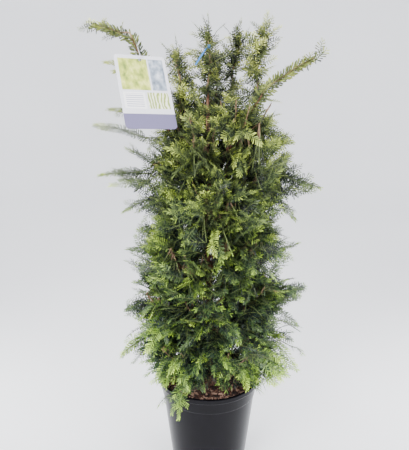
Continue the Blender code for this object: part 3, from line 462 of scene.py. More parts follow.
def needleTree():
    tree, add, given = newTree("needlesOnPaths", Needle="Object", Spacing="Float", Spread="Float",
                               Ahead="Float", Jitter="Float", Tone="Float", Seed="Int", Material="Material")
    seed = given["Seed"]
    curve = resampled(add, given, given["Spacing"])
    # every needle gets a tone a little of its own
    own = anyNumber(add, calc(add, "MULTIPLY", given["Tone"], -1.0), given["Tone"], seed)
    curve = store(add, curve, "shade", calc(add, "ADD", stored(add, "shade"), own))
    tangent = add("GeometryNodeInputTangent")
    lie = stored(add, "lie", "FLOAT_VECTOR")
    across = vectorCalc(add, "CROSS_PRODUCT", lie, tangent)
    # to the left and to the right in turn
    odd = calc(add, "MODULO", add("GeometryNodeInputIndex"), 2.0)
    sign = calc(add, "MULTIPLY_ADD", odd, 2.0, -1.0)
    aside = scaled(add, across, calc(add, "MULTIPLY", sign, given["Spread"]))
    # needles close up towards the tip of their twig
    late = calc(add, "POWER", add("GeometryNodeSplineParameter", out="Factor"), 4.0)
    ahead = scaled(add, tangent, calc(add, "MULTIPLY_ADD", late, 1.6, given["Ahead"]))
    low, high = (scaled(add, (end, end, end), given["Jitter"]) for end in (-1.0, 1.0))
    luck = anyVector(add, low, high, seed)
    aim = vectorCalc(add, "ADD", vectorCalc(add, "ADD", aside, ahead), luck)
    turn = add("FunctionNodeAxesToRotation", {0: aim, 1: vectorCalc(add, "ADD", lie, luck)},
               primary_axis="X", secondary_axis="Z")
    size = calc(add, "MULTIPLY", stored(add, "needle"), anyNumber(add, 0.8, 1.12, seed))
    return endTree(tree, add, copiesOn(add, curve, given["Needle"], turn, size), given["Material"])


def chipTree():
    tree, add, given = newTree("chipsOnSoil", Chip="Object", Density="Float", Seed="Int", Material="Material")
    seed = given["Seed"]
    spots = add("GeometryNodeDistributePointsOnFaces",
                {"Mesh": given["Geometry"], "Density": given["Density"], "Seed": seed})
    turn = anyVector(add, (-0.5, -0.5, 0.0), (0.5, 0.5, 6.283), seed)
    turn = add("FunctionNodeEulerToRotation", {0: turn})
    size = anyVector(add, (0.4, 0.4, 0.5), (1.5, 1.2, 1.3), seed)
    spots = store(add, spots, "tone", anyNumber(add, 0.0, 1.0, seed))
    return endTree(tree, add, copiesOn(add, spots, given["Chip"], turn, size), given["Material"])


def tint(code):  # a colour as it is seen on screen, turned to light values
    parts = [int(code[i:i + 2], 16) / 255 for i in (0, 2, 4)]
    return tuple(p / 12.92 if p < 0.04045 else ((p + 0.055) / 1.055) ** 2.4 for p in parts) + (1.0,)


def feed(mat, socket, value):  # fills a socket of the material's shader
    target = mat.node_tree.nodes["Principled BSDF"].inputs[socket]
    if isinstance(value, bpy.types.NodeSocket):
        mat.node_tree.links.new(value, target)
    else:
        target.default_value = value


def newMaterial(name, roughness):
    mat = bpy.data.materials.new(name)
    mat.use_nodes = True
    feed(mat, "Roughness", roughness)
    return mat, adder(mat.node_tree)


def ramp(add, fac, stops):
    node = add("ShaderNodeValToRGB", {"Fac": fac}, None)
    ends = node.color_ramp.elements
    while len(ends) < len(stops):
        ends.new(0.5)
    for end, (place, code) in zip(ends, stops):
        end.position = place
        end.color = tint(code)
    return node.outputs["Color"]


def bump(mat, add, height, strength, distance):
    feed(mat, "Normal", add("ShaderNodeBump", {"Height": height, "Strength": strength, "Distance": distance}))


def noiseAt(add, scale, detail, stretch=(1.0, 1.0, 1.0)):
    spread = add("ShaderNodeMapping", {"Vector": add("ShaderNodeTexCoord", out="Object"), "Scale": stretch})
    return add("ShaderNodeTexNoise", {"Vector": spread, "Scale": scale, "Detail": detail}, "Fac")


def carried(add, name):  # a value that the mesh carries
    return add("ShaderNodeAttribute", out="Fac", attribute_name=name)


def axisOf(add, index):
    return add("ShaderNodeSeparateXYZ", {0: add("ShaderNodeTexCoord", out="Object")}, index)


def mapped(add, value, start, end, low=0.0, high=1.0, **settings):
    ends = {"From Min": start, "From Max": end, "To Min": low, "To Max": high}
    return add("ShaderNodeMapRange", {"Value": value, **ends}, **settings)


def blend(add, share, low, high):
    return add("ShaderNodeMix", {"Factor": share, 6: low, 7: high}, 2, data_type="RGBA")


needleLook = {"roughness": 0.42, "specular": 0.35, "patchScale": 55.0, "patch": 0.26, "darker": 0.155,
              "warmFrom": 0.45, "warmTo": 0.95,
              "fresh": ((0.0, "0b130f"), (0.2, "1e3025"), (0.42, "4f6938"), (0.66, "90b441"),
                        (0.86, "b4da48"), (1.0, "cdec60")),
              "older": ((0.0, "0e120e"), (0.2, "283123"), (0.42, "5f683a"), (0.66, "a2ab4e"),
                        (0.86, "cad364"), (1.0, "e0e784"))}


def needleMaterial():  # fresh green low down, warmer towards the crown's top
    s = needleLook
    mat, add = newMaterial("yewNeedles", s["roughness"])
    patches = noiseAt(add, s["patchScale"], detail=3.0)
    mixed = calc(add, "MULTIPLY_ADD", patches, s["patch"], carried(add, "shade"))
    mixed = calc(add, "SUBTRACT", mixed, s["darker"])
    warm = mapped(add, axisOf(add, 2), s["warmFrom"], s["warmTo"])
    feed(mat, "Base Color", blend(add, warm, ramp(add, mixed, s["fresh"]), ramp(add, mixed, s["older"])))
    feed(mat, "Specular IOR Level", s["specular"])
    return mat


def twigMaterial():  # young twigs are green, older ones have bark
    mat, add = newMaterial("yewTwigs", roughness=0.7)
    shade = carried(add, "shade")
    fine = noiseAt(add, scale=260.0, detail=5.0, stretch=(1.0, 1.0, 0.25))
    bark = ramp(add, fine, ((0.3, "4a372a"), (0.5, "7f664d"), (0.75, "a38b66")))
    young = ramp(add, fine, ((0.3, "38452a"), (0.6, "66743c"), (0.8, "8a9450")))
    feed(mat, "Base Color", blend(add, calc(add, "GREATER_THAN", shade, 0.05), bark, young))
    bump(mat, add, fine, strength=0.3, distance=0.001)
    return mat


def potMaterial():
    mat, add = newMaterial("potPlastic", roughness=0.36)
    dust = noiseAt(add, scale=38.0, detail=5.0)
    feed(mat, "Base Color", ramp(add, dust, ((0.3, "060508"), (0.62, "0a090d"), (0.8, "110f15"))))
    feed(mat, "Roughness", mapped(add, dust, 0.3, 0.8, low=0.13, high=0.22))
    feed(mat, "Specular IOR Level", 0.13)
    bump(mat, add, noiseAt(add, scale=420.0, detail=2.0), strength=0.12, distance=0.0004)
    return mat


def chipMaterial():
    mat, add = newMaterial("barkChips", roughness=0.85)
    grain = noiseAt(add, scale=240.0, detail=4.0)
    mixed = calc(add, "MULTIPLY_ADD", grain, 0.4, carried(add, "tone"))
    stops = ((0.2, "1a0e0c"), (0.55, "3b221a"), (0.9, "654335"), (1.0, "a58370"))
    feed(mat, "Base Color", ramp(add, mixed, stops))
    bump(mat, add, grain, strength=0.5, distance=0.001)
    return mat


grainSet = table("name roughness scale detail stretch relief depth stops", {
    "bark": ("yewBark", 0.82, 210.0, 6.0, (1.0, 1.0, 0.25), 0.8, 0.001,
             ((0.25, "3b241b"), (0.5, "6f4a38"), (0.72, "9a7258"))),
    "soil": ("mulchSoil", 0.95, 160.0, 6.0, (1.0, 1.0, 1.0), 0.9, 0.004,
             ((0.35, "100908"), (0.55, "2c1a15"), (0.75, "4a3026"))),
    "tie": ("paleTie", 0.5, 300.0, 3.0, (1.0, 1.0, 1.0), 0.2, 0.0004,
            ((0.3, "b9bcc2"), (0.7, "d6d9de"))),
    "strip": ("blueStrip", 0.4, 180.0, 3.0, (1.0, 1.0, 1.0), 0.15, 0.0004,
              ((0.3, "1766b4"), (0.7, "2f8fdd"))),
})


def grainMaterial(s):  # one noise gives the colour and the relief
    mat, add = newMaterial(s["name"], s["roughness"])
    grain = noiseAt(add, s["scale"], s["detail"], s["stretch"])
    feed(mat, "Base Color", ramp(add, grain, s["stops"]))
    bump(mat, add, grain, s["relief"], s["depth"])
    return mat


# panels of the card's print: left, right, low and high edge as shares of the card
printSet = dict(leaves=(0.06, 0.62, 0.52, 0.95), shadow=(0.65, 0.94, 0.52, 0.95),
                sprig=(0.52, 0.94, 0.27, 0.49), text=(0.06, 0.48, 0.27, 0.49), lines=(0.1, 0.44, 0.29, 0.47),
                foot=(-0.01, 0.2), paper="dedee6", textPaper="f4f4f5", lineInk="a3a1b8", footInk="6d6888")


def cardMaterial():  # its UV runs 0 to 1 from the card's lower left corner
    p = printSet
    mat, add = newMaterial("printedCard", roughness=0.32)
    uv = add("ShaderNodeUVMap", uv_map="cardPrint")
    x, y = (add("ShaderNodeSeparateXYZ", {0: uv}, index) for index in (0, 1))

    def between(value, low, high):
        above, below = calc(add, "GREATER_THAN", value, low), calc(add, "LESS_THAN", value, high)
        return calc(add, "MULTIPLY", above, below)

    def panel(left, right, low, high):
        return calc(add, "MULTIPLY", between(x, left, right), between(y, low, high))

    def wave(scale, **links):
        return {"Vector": uv, "Scale": scale, **links}

    leafNoise = add("ShaderNodeTexNoise", wave(9.0, Detail=6.0), "Fac")
    leaves = ramp(add, leafNoise, ((0.3, "6f8440"), (0.5, "bcc85a"), (0.7, "eaeb8e")))
    shadow = ramp(add, leafNoise, ((0.3, "5e6975"), (0.5, "98a3b2"), (0.7, "d9dee6")))
    veins = add("ShaderNodeTexWave", wave(5.0, Distortion=9.0, Detail=3.0), "Fac")
    sprig = ramp(add, veins, ((0.2, "f0f1da"), (0.5, "c9d282"), (0.85, "8a9c50")))
    stripes = add("ShaderNodeTexWave", wave(11.0, Distortion=0.0), "Fac", bands_direction="Y")
    lines = calc(add, "MULTIPLY", calc(add, "GREATER_THAN", stripes, 0.72), panel(*p["lines"]))
    colour = tint(p["paper"])
    for share, layer in ((panel(*p["leaves"]), leaves), (panel(*p["shadow"]), shadow),
                         (panel(*p["sprig"]), sprig), (panel(*p["text"]), tint(p["textPaper"])),
                         (lines, tint(p["lineInk"])), (between(y, *p["foot"]), tint(p["footInk"]))):
        colour = blend(add, share, colour, layer)
    feed(mat, "Base Color", colour)
    feed(mat, "Coat Weight", 0.35)
    bump(mat, add, noiseAt(add, scale=90.0, detail=2.0), strength=0.05, distance=0.0006)
    return mat


trunk = planTrunk()
cells = planCells()
boughs = planBoughs(trunk, cells)
stems = planStems(trunk, boughs, cells)
print("limbs planned:", 1 + len(boughs) + len(stems))

materials = {"needles": needleMaterial(), "twigs": twigMaterial(), "pot": potMaterial(),
             "chips": chipMaterial(), "card": cardMaterial(),
             **{key: grainMaterial(s) for key, s in grainSet.items()}}

woodSet = table("Step Sides Relief Grain", {
    "yewTrunk": (0.0035, 28, 0.5, 260.0),
    "yewBoughs": (0.006, 12, 0.36, 320.0),
})


def growWood():
    tree = woodTree()
    pieces = []
    for name, limbs in (("yewTrunk", [trunk]), ("yewBoughs", boughs.values())):
        book = newBook()
        for points, radii in limbs:
            addBare(book, points, radii)
        values = {**woodSet[name], "Material": materials["bark"]}
        pieces.append(runTree(pathMesh(f"{name}Paths", book), tree, values, name))
    bare, limbs = pieces
    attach(bare, "root")
    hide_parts("trunk")
    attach(limbs, "root")
    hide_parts(*[f"bough_{name}" for name in boughs])
    print("wood:", len(bare.data.polygons), len(limbs.data.polygons))


# sprays grow on a mass's surface and shell tips on the crown's outline; rise is a spray's slope in degrees
foliageSet = table("sprays shell sides shade spread droop rise", {
    "skirt": (84, 84, 3, 0.33, 0.4, 0.26, (-18, 24)),
    "low": (82, 82, 3, 0.27, 0.38, 0.14, (-4, 42)),
    "middle": (92, 92, 3, 0.31, 0.38, 0.06, (8, 58)),
    "upper": (86, 82, 3, 0.36, 0.4, 0.03, (18, 66)),
    "high": (74, 64, 3, 0.38, 0.4, 0.0, (28, 72)),
    "top": (28, 36, 2, 0.43, 0.4, 0.0, (36, 74)),
    "shoot": (0, 14, 0, 0.42, 0.26, 0.0, None),
})
spraySet = dict(length=(0.042, 0.07), longer=0.11, shortest=0.024, reach=0.97, size=(0.85, 1.12),
                twigRadius=0.0012, tipRadius=0.0006, baseShare=0.8, arch=0.05, sag=0.1, roll=(8.0, 66.0),
                swing=48.0, lift=0.2, towards=0.35, inner=0.45, innerAt=(0.5, 0.9), innerPaintedShade=0.12)
sideSet = dict(onLong=5, start=0.06, over=0.72, angle=0.9, tilt=0.3, length=(0.018, 0.032), bend=0.55,
               ahead=0.25)
# tones and needle sizes from foot to tip, added to and times the spray's own: lighter new growth at the tip,
# painted shade at the foot and on the twig leading in
runSet = dict(axisTone=(-0.22, 0.46, 1.5), axisSize=(1.0, 1.05, 1.0, 0.92, 0.72), backPaintedShade=(-0.34, -0.24),
              backSize=(0.8, 1.0), sideTone=(-0.2, -0.06, 0.14), sideSize=(0.95, 0.9, 0.66),
              longSize=(1.0, 1.0, 1.0, 1.0, 0.72), green=0.12)
# new growth is dotted over the outside, and needles get painted shade, darker with their depth in the crown
# where its inside lies in shadow
toneSet = dict(freshLow=0.24, freshHigh=0.12, freshBelow=0.42, fresh=0.42, paintedShadeGain=5.5, paintedShadeFrom=0.014,
               paintedShadeMost=0.08, hanging=0.25, farTip=-0.04)
# tips that stand out of the even outline: azimuth, height, distance from the pot's middle line
farTips = ((180, 0.944, 0.2), (176, 0.962, 0.222), (184, 0.833, 0.244), (181, 0.866, 0.214),
           (186, 0.73, 0.239), (179, 0.783, 0.181), (178, 0.64, 0.194), (183, 0.413, 0.196),
           (188, 0.311, 0.208), (184, 0.56, 0.184), (0, 0.794, 0.182), (-3, 0.7, 0.242),
           (2, 0.464, 0.224), (-5, 0.268, 0.205), (3, 0.62, 0.196), (92, 0.84, 0.18),
           (70, 0.64, 0.19), (112, 0.45, 0.19), (-62, 0.56, 0.186), (-8, 0.386, 0.206),
           (2, 0.33, 0.2), (-113, 0.235, 0.174), (140, 0.76, 0.19), (48, 0.76, 0.186),
           (-70, 0.42, 0.186))
shellSet = dict(heights=(0.225, 0.285, 0.337, 0.414, 0.488, 0.56, 0.63, 0.719, 0.784, 0.85, 0.9),
                radii=(0.124, 0.164, 0.172, 0.172, 0.16, 0.148, 0.142, 0.138, 0.134, 0.112, 0.088),
                tries=14000, depth=0.3, depthPower=1.3, lobes=0.42, lobeScale=12.0, lobeReach=0.15,
                ragged=0.3, stray=0.22, bays=19.0, bayDepth=-0.12, limits=(0.236, 0.186))
# side shoots along a limb: how far they point ahead, aside and up, and their length at its foot and tip
combSet = {"shoot": {"ahead": 1.3, "aside": (0.5, 1.0), "up": (-0.3, 0.7), "length": 0.052, "shorter": 0.022,
                     "vary": (0.8, 1.15), "turns": (25.0, 95.0, 160.0), "size": 1.5, "start": 0.35},
           "top": {"turn": 137.5, "first": 40.0, "up": (0.6, 1.3), "length": 0.092, "shorter": 0.044,
                   "vary": (0.7, 1.15), "turns": (10.0, 100.0), "size": 1.1, "start": 0.1}}
branchSet = dict(count=7, reach=0.05, rise=0.062, radius=0.0021, endRadius=0.0012, start=0.35, swing=15.0,
                 reachVary=(0.8, 1.15), riseVary=(0.6, 1.2), bendAt=0.55, bendOut=0.008, bendDown=0.004)
roomSet = dict(potRim=0.121, potTop=0.23, potClear=0.008, cardClear=0.01, cardDepth=0.012, lowest=0.256,
               frontRise=0.6, frontFrom=0.125, hanging=(-118.0, -34.0), hangWidth=9.0, hangLowest=0.12)
needleSet = dict(length=0.0128, width=0.0025, spacing=0.0023, spread=0.96, ahead=0.42, jitter=0.16, tone=0.16,
                 widestAt=0.8)


def reachPoints(node, count, luck):  # even picks over the mass's own surface, and its furthest corners
    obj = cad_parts[node]
    mesh = obj.data
    mesh.calc_loop_triangles()
    spots = np.empty(len(mesh.vertices) * 3)
    mesh.vertices.foreach_get("co", spots)
    turn = np.array(obj.matrix_world)
    spots = spots.reshape(-1, 3) @ turn[:3, :3].T + turn[:3, 3]
    faces = np.empty(len(mesh.loop_triangles) * 3, dtype=np.int32)
    mesh.loop_triangles.foreach_get("vertices", faces)
    a, b, c = (spots[faces.reshape(-1, 3)[:, k]] for k in range(3))
    areas = np.linalg.norm(np.cross(b - a, c - a), axis=1)
    picks = luck.choice(len(areas), size=count, p=areas / areas.sum())
    u, v = luck.random((2, count, 1))
    over = (u + v) > 1.0
    u, v = np.where(over, 1.0 - u, u), np.where(over, 1.0 - v, v)
    inside = a[picks] + (b[picks] - a[picks]) * u + (c[picks] - a[picks]) * v
    order = np.argsort(-np.linalg.norm(spots - spots.mean(axis=0), axis=1))
    far = []
    for i in order[: len(order) // 4]:
        if all(np.linalg.norm(spots[i] - other) > 0.022 for other in far):  # apart from each other
            far.append(spots[i])
    return [Vector(spot) for spot in inside], [Vector(spot) for spot in far]


def inBay(tip):  # hollows between the boughs, where the sky or the dark inside shows
    return noise.noise(tip * shellSet["bays"]) < shellSet["bayDepth"]


def ownerOf(tip):
    masses = [name for name in cells if name not in shoots]
    return min(masses, key=lambda name: (cells[name] - tip).length_squared)


def leaderPath(name):  # the leafy length of a leader or an arching shoot
    bough = boughs.get(name, trunk)[0][-3:]
    start = combSet[name.split("_")[0]]["start"]
    return [bough[0].lerp(bough[1], start), bough[1], bough[2]] + stems[name][0][2:]


def alongPath(points, share):
    along = (len(points) - 1) * min(0.999, share)
    low, high = points[int(along)], points[int(along) + 1]
    return low.lerp(high, along % 1.0), (high - low).normalized()


def outlineAt(height):
    return float(np.interp(height, shellSet["heights"], shellSet["radii"]))


def shellPoints(luck):  # tips over the crown's outline, each given to the mass whose space it lies in
    s = shellSet
    shell = {name: [] for name in cells}
    for _ in range(s["tries"]):
        height = luck.uniform(s["heights"][0], s["heights"][-1])
        out = sideways(luck.uniform(0.0, 360.0))
        share = 1.0 - s["depth"] * luck.random() ** s["depthPower"]
        if luck.random() < s["ragged"]:
            share = 1.0 + s["stray"] * luck.random()
        share *= 1.0 + s["lobes"] * noise.noise((out * s["lobeReach"] + up * height) * s["lobeScale"])
        tip = crownAxis(height) + out * outlineAt(height) * share
        name = ownerOf(tip)
        kind = name.split("_")[0]
        beyond = abs(tip.x) > s["limits"][0] or abs(tip.y) > s["limits"][1]
        if beyond or inBay(tip) or kind in combSet:
            continue
        if len(shell[name]) < foliageSet[kind]["shell"]:
            shell[name].append(tip)
    for name in (*shoots, *leaders):  # side shoots, shorter towards the tip
        kind = name.split("_")[0]
        c, points, count = combSet[kind], leaderPath(name), foliageSet[kind]["shell"]
        for i in range(count):
            place, run = alongPath(points, (i + 0.3) / count)
            if kind == "shoot":
                side = run.cross(up).normalized() * (1.0 if i % 2 else -1.0)
                out = run * c["ahead"] + side * luck.uniform(*c["aside"]) + up * luck.uniform(*c["up"])
            else:
                out = sideways(c["turn"] * i + c["first"]) + up * luck.uniform(*c["up"])
            length = c["length"] - c["shorter"] * i / count
            shell[name].append(place + out.normalized() * length * luck.uniform(*c["vary"]))
    return shell


def growBranches(name, stem, luck):  # finer limbs that fan out from the mass's stem
    b = branchSet
    if name.startswith(("top", "shoot")):
        return [stem, boughs[name]] if name in boughs else [stem]
    limbs = [stem]
    start = stem[0][-2].lerp(stem[0][-1], b["start"])
    turn = luck.uniform(0.0, 360.0)
    for i in range(b["count"]):
        out = sideways(turn + 360.0 * i / b["count"] + luck.uniform(-b["swing"], b["swing"]))
        end = cells[name] + out * b["reach"] * luck.uniform(*b["reachVary"])
        end = end + up * b["rise"] * luck.uniform(*b["riseVary"])
        bend = start.lerp(end, b["bendAt"]) + out * b["bendOut"] - up * b["bendDown"]
        if hasRoom(end):
            radii = [b["radius"], (b["radius"] + b["endRadius"]) / 2, b["endRadius"]]
            limbs.append(([start, bend, end], radii))
    return limbs


def hasRoom(point):  # clear of the pot and of the card
    r = roomSet
    if point.z < r["potTop"] + r["potClear"] and point.to_2d().length < r["potRim"] + r["potClear"]:
        return False
    local = cardFrame().inverted() @ point
    inside = abs(local.x) < cardSet["width"] / 2 + r["cardClear"]
    inside = inside and abs(local.z) < cardSet["height"] / 2 + r["cardClear"]
    return not (inside and local.y < r["cardDepth"])


def mayHang(tip):  # only a few sprays come down over the pot's rim
    r = roomSet
    if tip.z > r["lowest"] + r["frontRise"] * max(0.0, -tip.y - r["frontFrom"]):
        return True
    azimuth = math.degrees(math.atan2(tip.y, tip.x))
    return any(abs(azimuth - side) < r["hangWidth"] for side in r["hanging"]) and tip.z > r["hangLowest"]


def nearestOn(limbs, target):  # a foot on a limb, a little below the place abreast of the target
    best, bestAway = None, math.inf
    for places, _ in limbs:
        for low, high in zip(places[-3:], places[-2:]):
            run = high - low
            share = max(0.0, min(1.0, (target - low).dot(run) / run.length_squared - 0.25))
            place = low + run * share
            if (place - target).length < bestAway:
                best, bestAway = place, (place - target).length
    return best


def sprayHeading(tip, foot, kind, luck, straight):
    s = spraySet
    away = (tip - foot).normalized()
    if straight or kind["rise"] is None:
        return (away + up * s["lift"]).normalized()
    out = tip - crownAxis(tip.z)
    out.z = 0.0
    out.rotate(Matrix.Rotation(math.radians(luck.uniform(-s["swing"], s["swing"])), 3, "Z"))
    slope = math.radians(luck.uniform(*kind["rise"]))
    return (out.normalized() * math.cos(slope) + up * math.sin(slope) + away * s["towards"]).normalized()


def growSpray(wood, leafy, limbs, tip, shade, kind, luck, straight=False, longest=None):
    s, d, r = spraySet, sideSet, runSet
    foot = nearestOn(limbs, tip)
    heading = sprayHeading(tip, foot, kind, luck, straight)
    length = min(longest or luck.uniform(*s["length"]), max(s["shortest"], (tip - foot).length * s["reach"]))
    base = tip - heading * length
    level = heading.cross(up)
    if level.length < 0.2:  # it points nearly straight up
        level = sideways(luck.uniform(0.0, 360.0))
    level.normalize()
    roll = math.radians(luck.choice((-1, 1)) * luck.uniform(*s["roll"]))
    lie = level.cross(heading).normalized() * math.cos(roll) + level * math.sin(roll)
    across = lie.cross(heading).normalized()

    def onAxis(share):
        lift = s["arch"] * length * math.sin(math.pi * share)
        return base + heading * length * share + lie * lift - up * kind["droop"] * length * share * share

    def leaves(points, radii, tones, sizes, flat=lie):
        addPath(leafy, points, radii, tones, [size * share for share in sizes], flat)

    axis = [onAxis(i / 4) for i in range(5)]
    if not all(hasRoom(point) for point in axis) or not mayHang(axis[-1]):
        return 0
    reach = base - foot
    size = luck.uniform(*s["size"])
    thick, thin, start = s["twigRadius"], s["tipRadius"], s["twigRadius"] * s["baseShare"]
    if reach.length > 0.004:  # a twig leads out to the spray
        bend = foot + reach * 0.5 - up * s["sag"] * reach.length
        addPath(wood, [foot, bend, base], [thick * 1.15, thick, start], [0.0, r["green"], r["green"]],
                [0.0] * 3, up)
        # the needles on the twig leading in get painted shade, darker deep in the crown
        leaves([bend, base], [0.0] * 2, [shade + step for step in r["backPaintedShade"]], r["backSize"])
    # tones rise from painted shade at the foot to lighter new growth at the tip
    first, gain, power = r["axisTone"]
    tones = [shade + first + gain * (i / 4) ** power for i in range(5)]
    green = [max(0.1, tone) for tone in tones]
    radii = [start + (thin - start) * i / 4 for i in range(5)]
    addPath(wood, axis[::2], radii[::2], green[::2], [1.0] * 3, lie)
    leaves(axis, radii, tones, r["axisSize"])
    sides = d["onLong"] if longest else luck.randint(0, 1 if straight else kind["sides"])
    if longest:  # a long shoot has needles to all sides
        leaves(axis, radii, tones, r["longSize"], across)
    for k in range(sides):
        share = d["start"] + d["over"] * (k + luck.uniform(0.1, 0.7)) / sides
        place = onAxis(share)
        sign = 1.0 if k % 2 else -1.0
        out = heading + across * sign * d["angle"] + lie * luck.uniform(-d["tilt"], d["tilt"])
        out.normalize()
        run = luck.uniform(*d["length"]) * (1.2 - 0.5 * share)  # shorter towards the tip
        bend = place + out * run * d["bend"]
        end = place + (out + heading * d["ahead"] - up * kind["droop"]).normalized() * run
        if not (hasRoom(bend) and hasRoom(end) and mayHang(end)):
            continue
        addPath(wood, [place, end], [thin * 1.2, thin * 0.8], green[:2], [1.0] * 2, lie)
        leaves([place, bend, end], [thin] * 3, [shade + step for step in r["sideTone"]], r["sideSize"])
    return 1


def combLimb(leafy, name, shade):  # needles all round a leader or an arching shoot
    c, points = combSet[name.split("_")[0]], leaderPath(name)
    if name.startswith("top"):  # a leader is bare below
        points = [points[-2].lerp(points[-1], 0.1), points[-1]]
    tones = [shade - 0.12 + 0.22 * i / (len(points) - 1) for i in range(len(points))]
    run = (points[-1] - points[0]).normalized()
    for turn in c["turns"]:
        lie = run.cross(sideways(90.0)).normalized()
        lie.rotate(Matrix.Rotation(math.radians(turn), 3, run))
        sizes = [c["size"]] * (len(points) - 1) + [0.8]
        addPath(leafy, points, [0.0] * len(points), tones, sizes, lie)


def massShade(kind, tip, luck):
    t = toneSet
    depth = outlineAt(tip.z) - (tip - crownAxis(tip.z)).to_2d().length
    tone = kind["shade"] + luck.uniform(-0.5, 0.5) * kind["spread"]
    if luck.random() < (t["freshLow"] if tip.z < t["freshBelow"] else t["freshHigh"]):
        tone += t["fresh"]
    # painted shade: needles deep inside the outline are darkened, standing in for the crown's shadow
    return tone - t["paintedShadeGain"] * min(t["paintedShadeMost"], max(0.0, depth - t["paintedShadeFrom"]))


def makeBlade():  # one needle: flat, widest far out, with a short point
    half, tip = needleSet["width"] / 2, needleSet["length"]
    far = tip * needleSet["widestAt"]
    blade = bpy.data.meshes.new("needleBlade")
    spots = [(0, -half * 0.5, 0), (0, half * 0.5, 0), (far, -half, half * 0.3), (far, half, half * 0.3),
             (tip, 0, -half * 0.3)]
    blade.from_pydata(spots, [], [(0, 2, 1), (1, 2, 3), (2, 4, 3)])
    return addObject("needleBlade", blade)


def growMass(name, kind, wood, leafy, tips, seed):
    s = spraySet
    luck = random.Random(seed)
    slim = name.startswith(("top", "shoot"))
    limbs = growBranches(name, stems[name], luck)
    for limb in limbs:
        if limb is not boughs.get(name):
            addBare(wood, *limb)
    if slim:
        combLimb(leafy, name, kind["shade"])
    inside, far = [], []
    if kind["sprays"]:
        inside, far = reachPoints(f"foliage_{name}", kind["sprays"], np.random.default_rng(seed))

    def grow(tip, shade, *how):
        return growSpray(wood, leafy, limbs, tip, shade, kind, luck, *how)

    made = sum(grow(tip, massShade(kind, tip, luck), True) for tip in far)
    for azimuth, height, reach in farTips:
        tip = sideways(azimuth) * reach + up * height
        if ownerOf(tip) == name:
            lighter = toneSet["hanging" if height < roomSet["lowest"] else "farTip"]
            made += grow(tip, kind["shade"] + lighter, True, s["longer"])
    for tip in inside:
        shade = massShade(kind, tip, luck)
        if luck.random() < s["inner"]:
            tip = nearestOn(limbs, tip).lerp(tip, luck.uniform(*s["innerAt"]))
            # a spray drawn in towards the limbs gets painted shade, darker as if in the crown's shadow
            shade -= s["innerPaintedShade"]
        elif inBay(tip):
            continue
        made += grow(tip, shade)
    return made + sum(grow(tip, massShade(kind, tip, luck), slim) for tip in tips)


def growFoliage():
    needles, twigs = needleTree(), twigTree()
    needle = makeBlade()
    shell = shellPoints(random.Random(11))
    total = 0
    for number, (kindName, kind) in enumerate(foliageSet.items()):
        wood, leafy = newBook(), newBook()
        names = [name for name in cells if name.startswith(kindName)]
        made = sum(growMass(name, kind, wood, leafy, shell[name], 100 * number + i)
                   for i, name in enumerate(names))
        values = {key.title(): needleSet[key] for key in ("spacing", "spread", "ahead", "jitter", "tone")}
        values |= {"Needle": needle, "Seed": 7 + number, "Material": materials["needles"]}
        piece = runTree(pathMesh(f"{kindName}Paths", leafy), needles, values, f"{kindName}Needles")
        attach(piece, "root")
        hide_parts(*[f"foliage_{name}" for name in names])
        values = {"Sides": 3, "Material": materials["twigs"]}
        stalks = runTree(pathMesh(f"{kindName}Wood", wood), twigs, values, f"{kindName}Twigs")
        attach(stalks, "root")
        counts = [sum(len(face.vertices) - 2 for face in obj.data.polygons) for obj in (piece, stalks)]
        total += sum(counts)
        print(kindName, "sprays", made, "triangles", counts)
    print("foliage triangles in all", total)
    bpy.data.objects.remove(needle)


potSet = dict(height=0.23, rim=0.121, band=0.0115, shoulder=0.117, ledge=0.19, ledgeStep=0.002,
              base=0.0905, wall=0.0024, floor=0.0032, sides=120, holes=6, holeRadius=0.006, holeCircle=0.062)
seamSet = dict(azimuths=(-89.0, 91.0), heights=(0.012, 0.07, 0.13, 0.187), half=0.0006, proud=0.0002,
               inset=0.9)


def wallRadius(height):
    p = potSet
    return p["base"] + (p["shoulder"] - p["base"]) * height / (p["height"] - p["band"])


def makePot():
    p = potSet
    top, lip, ledge = p["height"], p["height"] - p["band"], p["ledge"]
    inner, shoulder, rim = wallRadius(p["floor"]) - p["wall"], p["shoulder"] - p["wall"], p["rim"]
    profile = [  # from the middle of the floor, up inside, over the rim and down outside
        (0.0, p["floor"]), (inner - 0.003, p["floor"]), (inner, p["floor"] + 0.003),
        (shoulder, top - 0.0012), (shoulder + 0.001, top),
        (rim - 0.0012, top), (rim - 0.0003, top - 0.0004), (rim, top - 0.0013),
        (rim, lip + 0.0012), (rim - 0.0006, lip + 0.0002), (rim - 0.0016, lip),
        (wallRadius(lip) + 0.0006, lip), (wallRadius(lip), lip - 0.0006),
        (wallRadius(ledge), ledge + 0.0006), (wallRadius(ledge) - 0.0006, ledge - 0.0006),
        (wallRadius(ledge) - p["ledgeStep"], ledge - p["ledgeStep"]),
        (wallRadius(0.012) - 0.0008, 0.012), (p["base"], 0.0035), (p["base"] - 0.001, 0.001),
        (p["base"] - 0.003, 0.0), (0.0, 0.0),
    ]
    pot = formObject("nurseryPot", spun(profile, p["sides"]), materials["pot"])
    pot.data.shade_smooth()
    cutters = []
    for i in range(p["holes"]):
        bpy.ops.mesh.primitive_cylinder_add(vertices=24, radius=p["holeRadius"], depth=0.02)
        cutters.append(bpy.context.object)
        cutters[-1].location = sideways(360.0 * i / p["holes"]) * p["holeCircle"]
        cut = pot.modifiers.new("drain", "BOOLEAN")
        cut.operation = "DIFFERENCE"
        cut.object = cutters[-1]
    mesh = plainMesh(pot)
    pot.modifiers.clear()
    pot.data = mesh
    for cutter in cutters:
        bpy.data.objects.remove(cutter)
    mesh.set_sharp_from_angle(angle=math.radians(12))
    for piece in (pot, makeSeam()):
        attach(piece, "root")
    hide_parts("pot")
    print("pot faces", len(mesh.polygons))


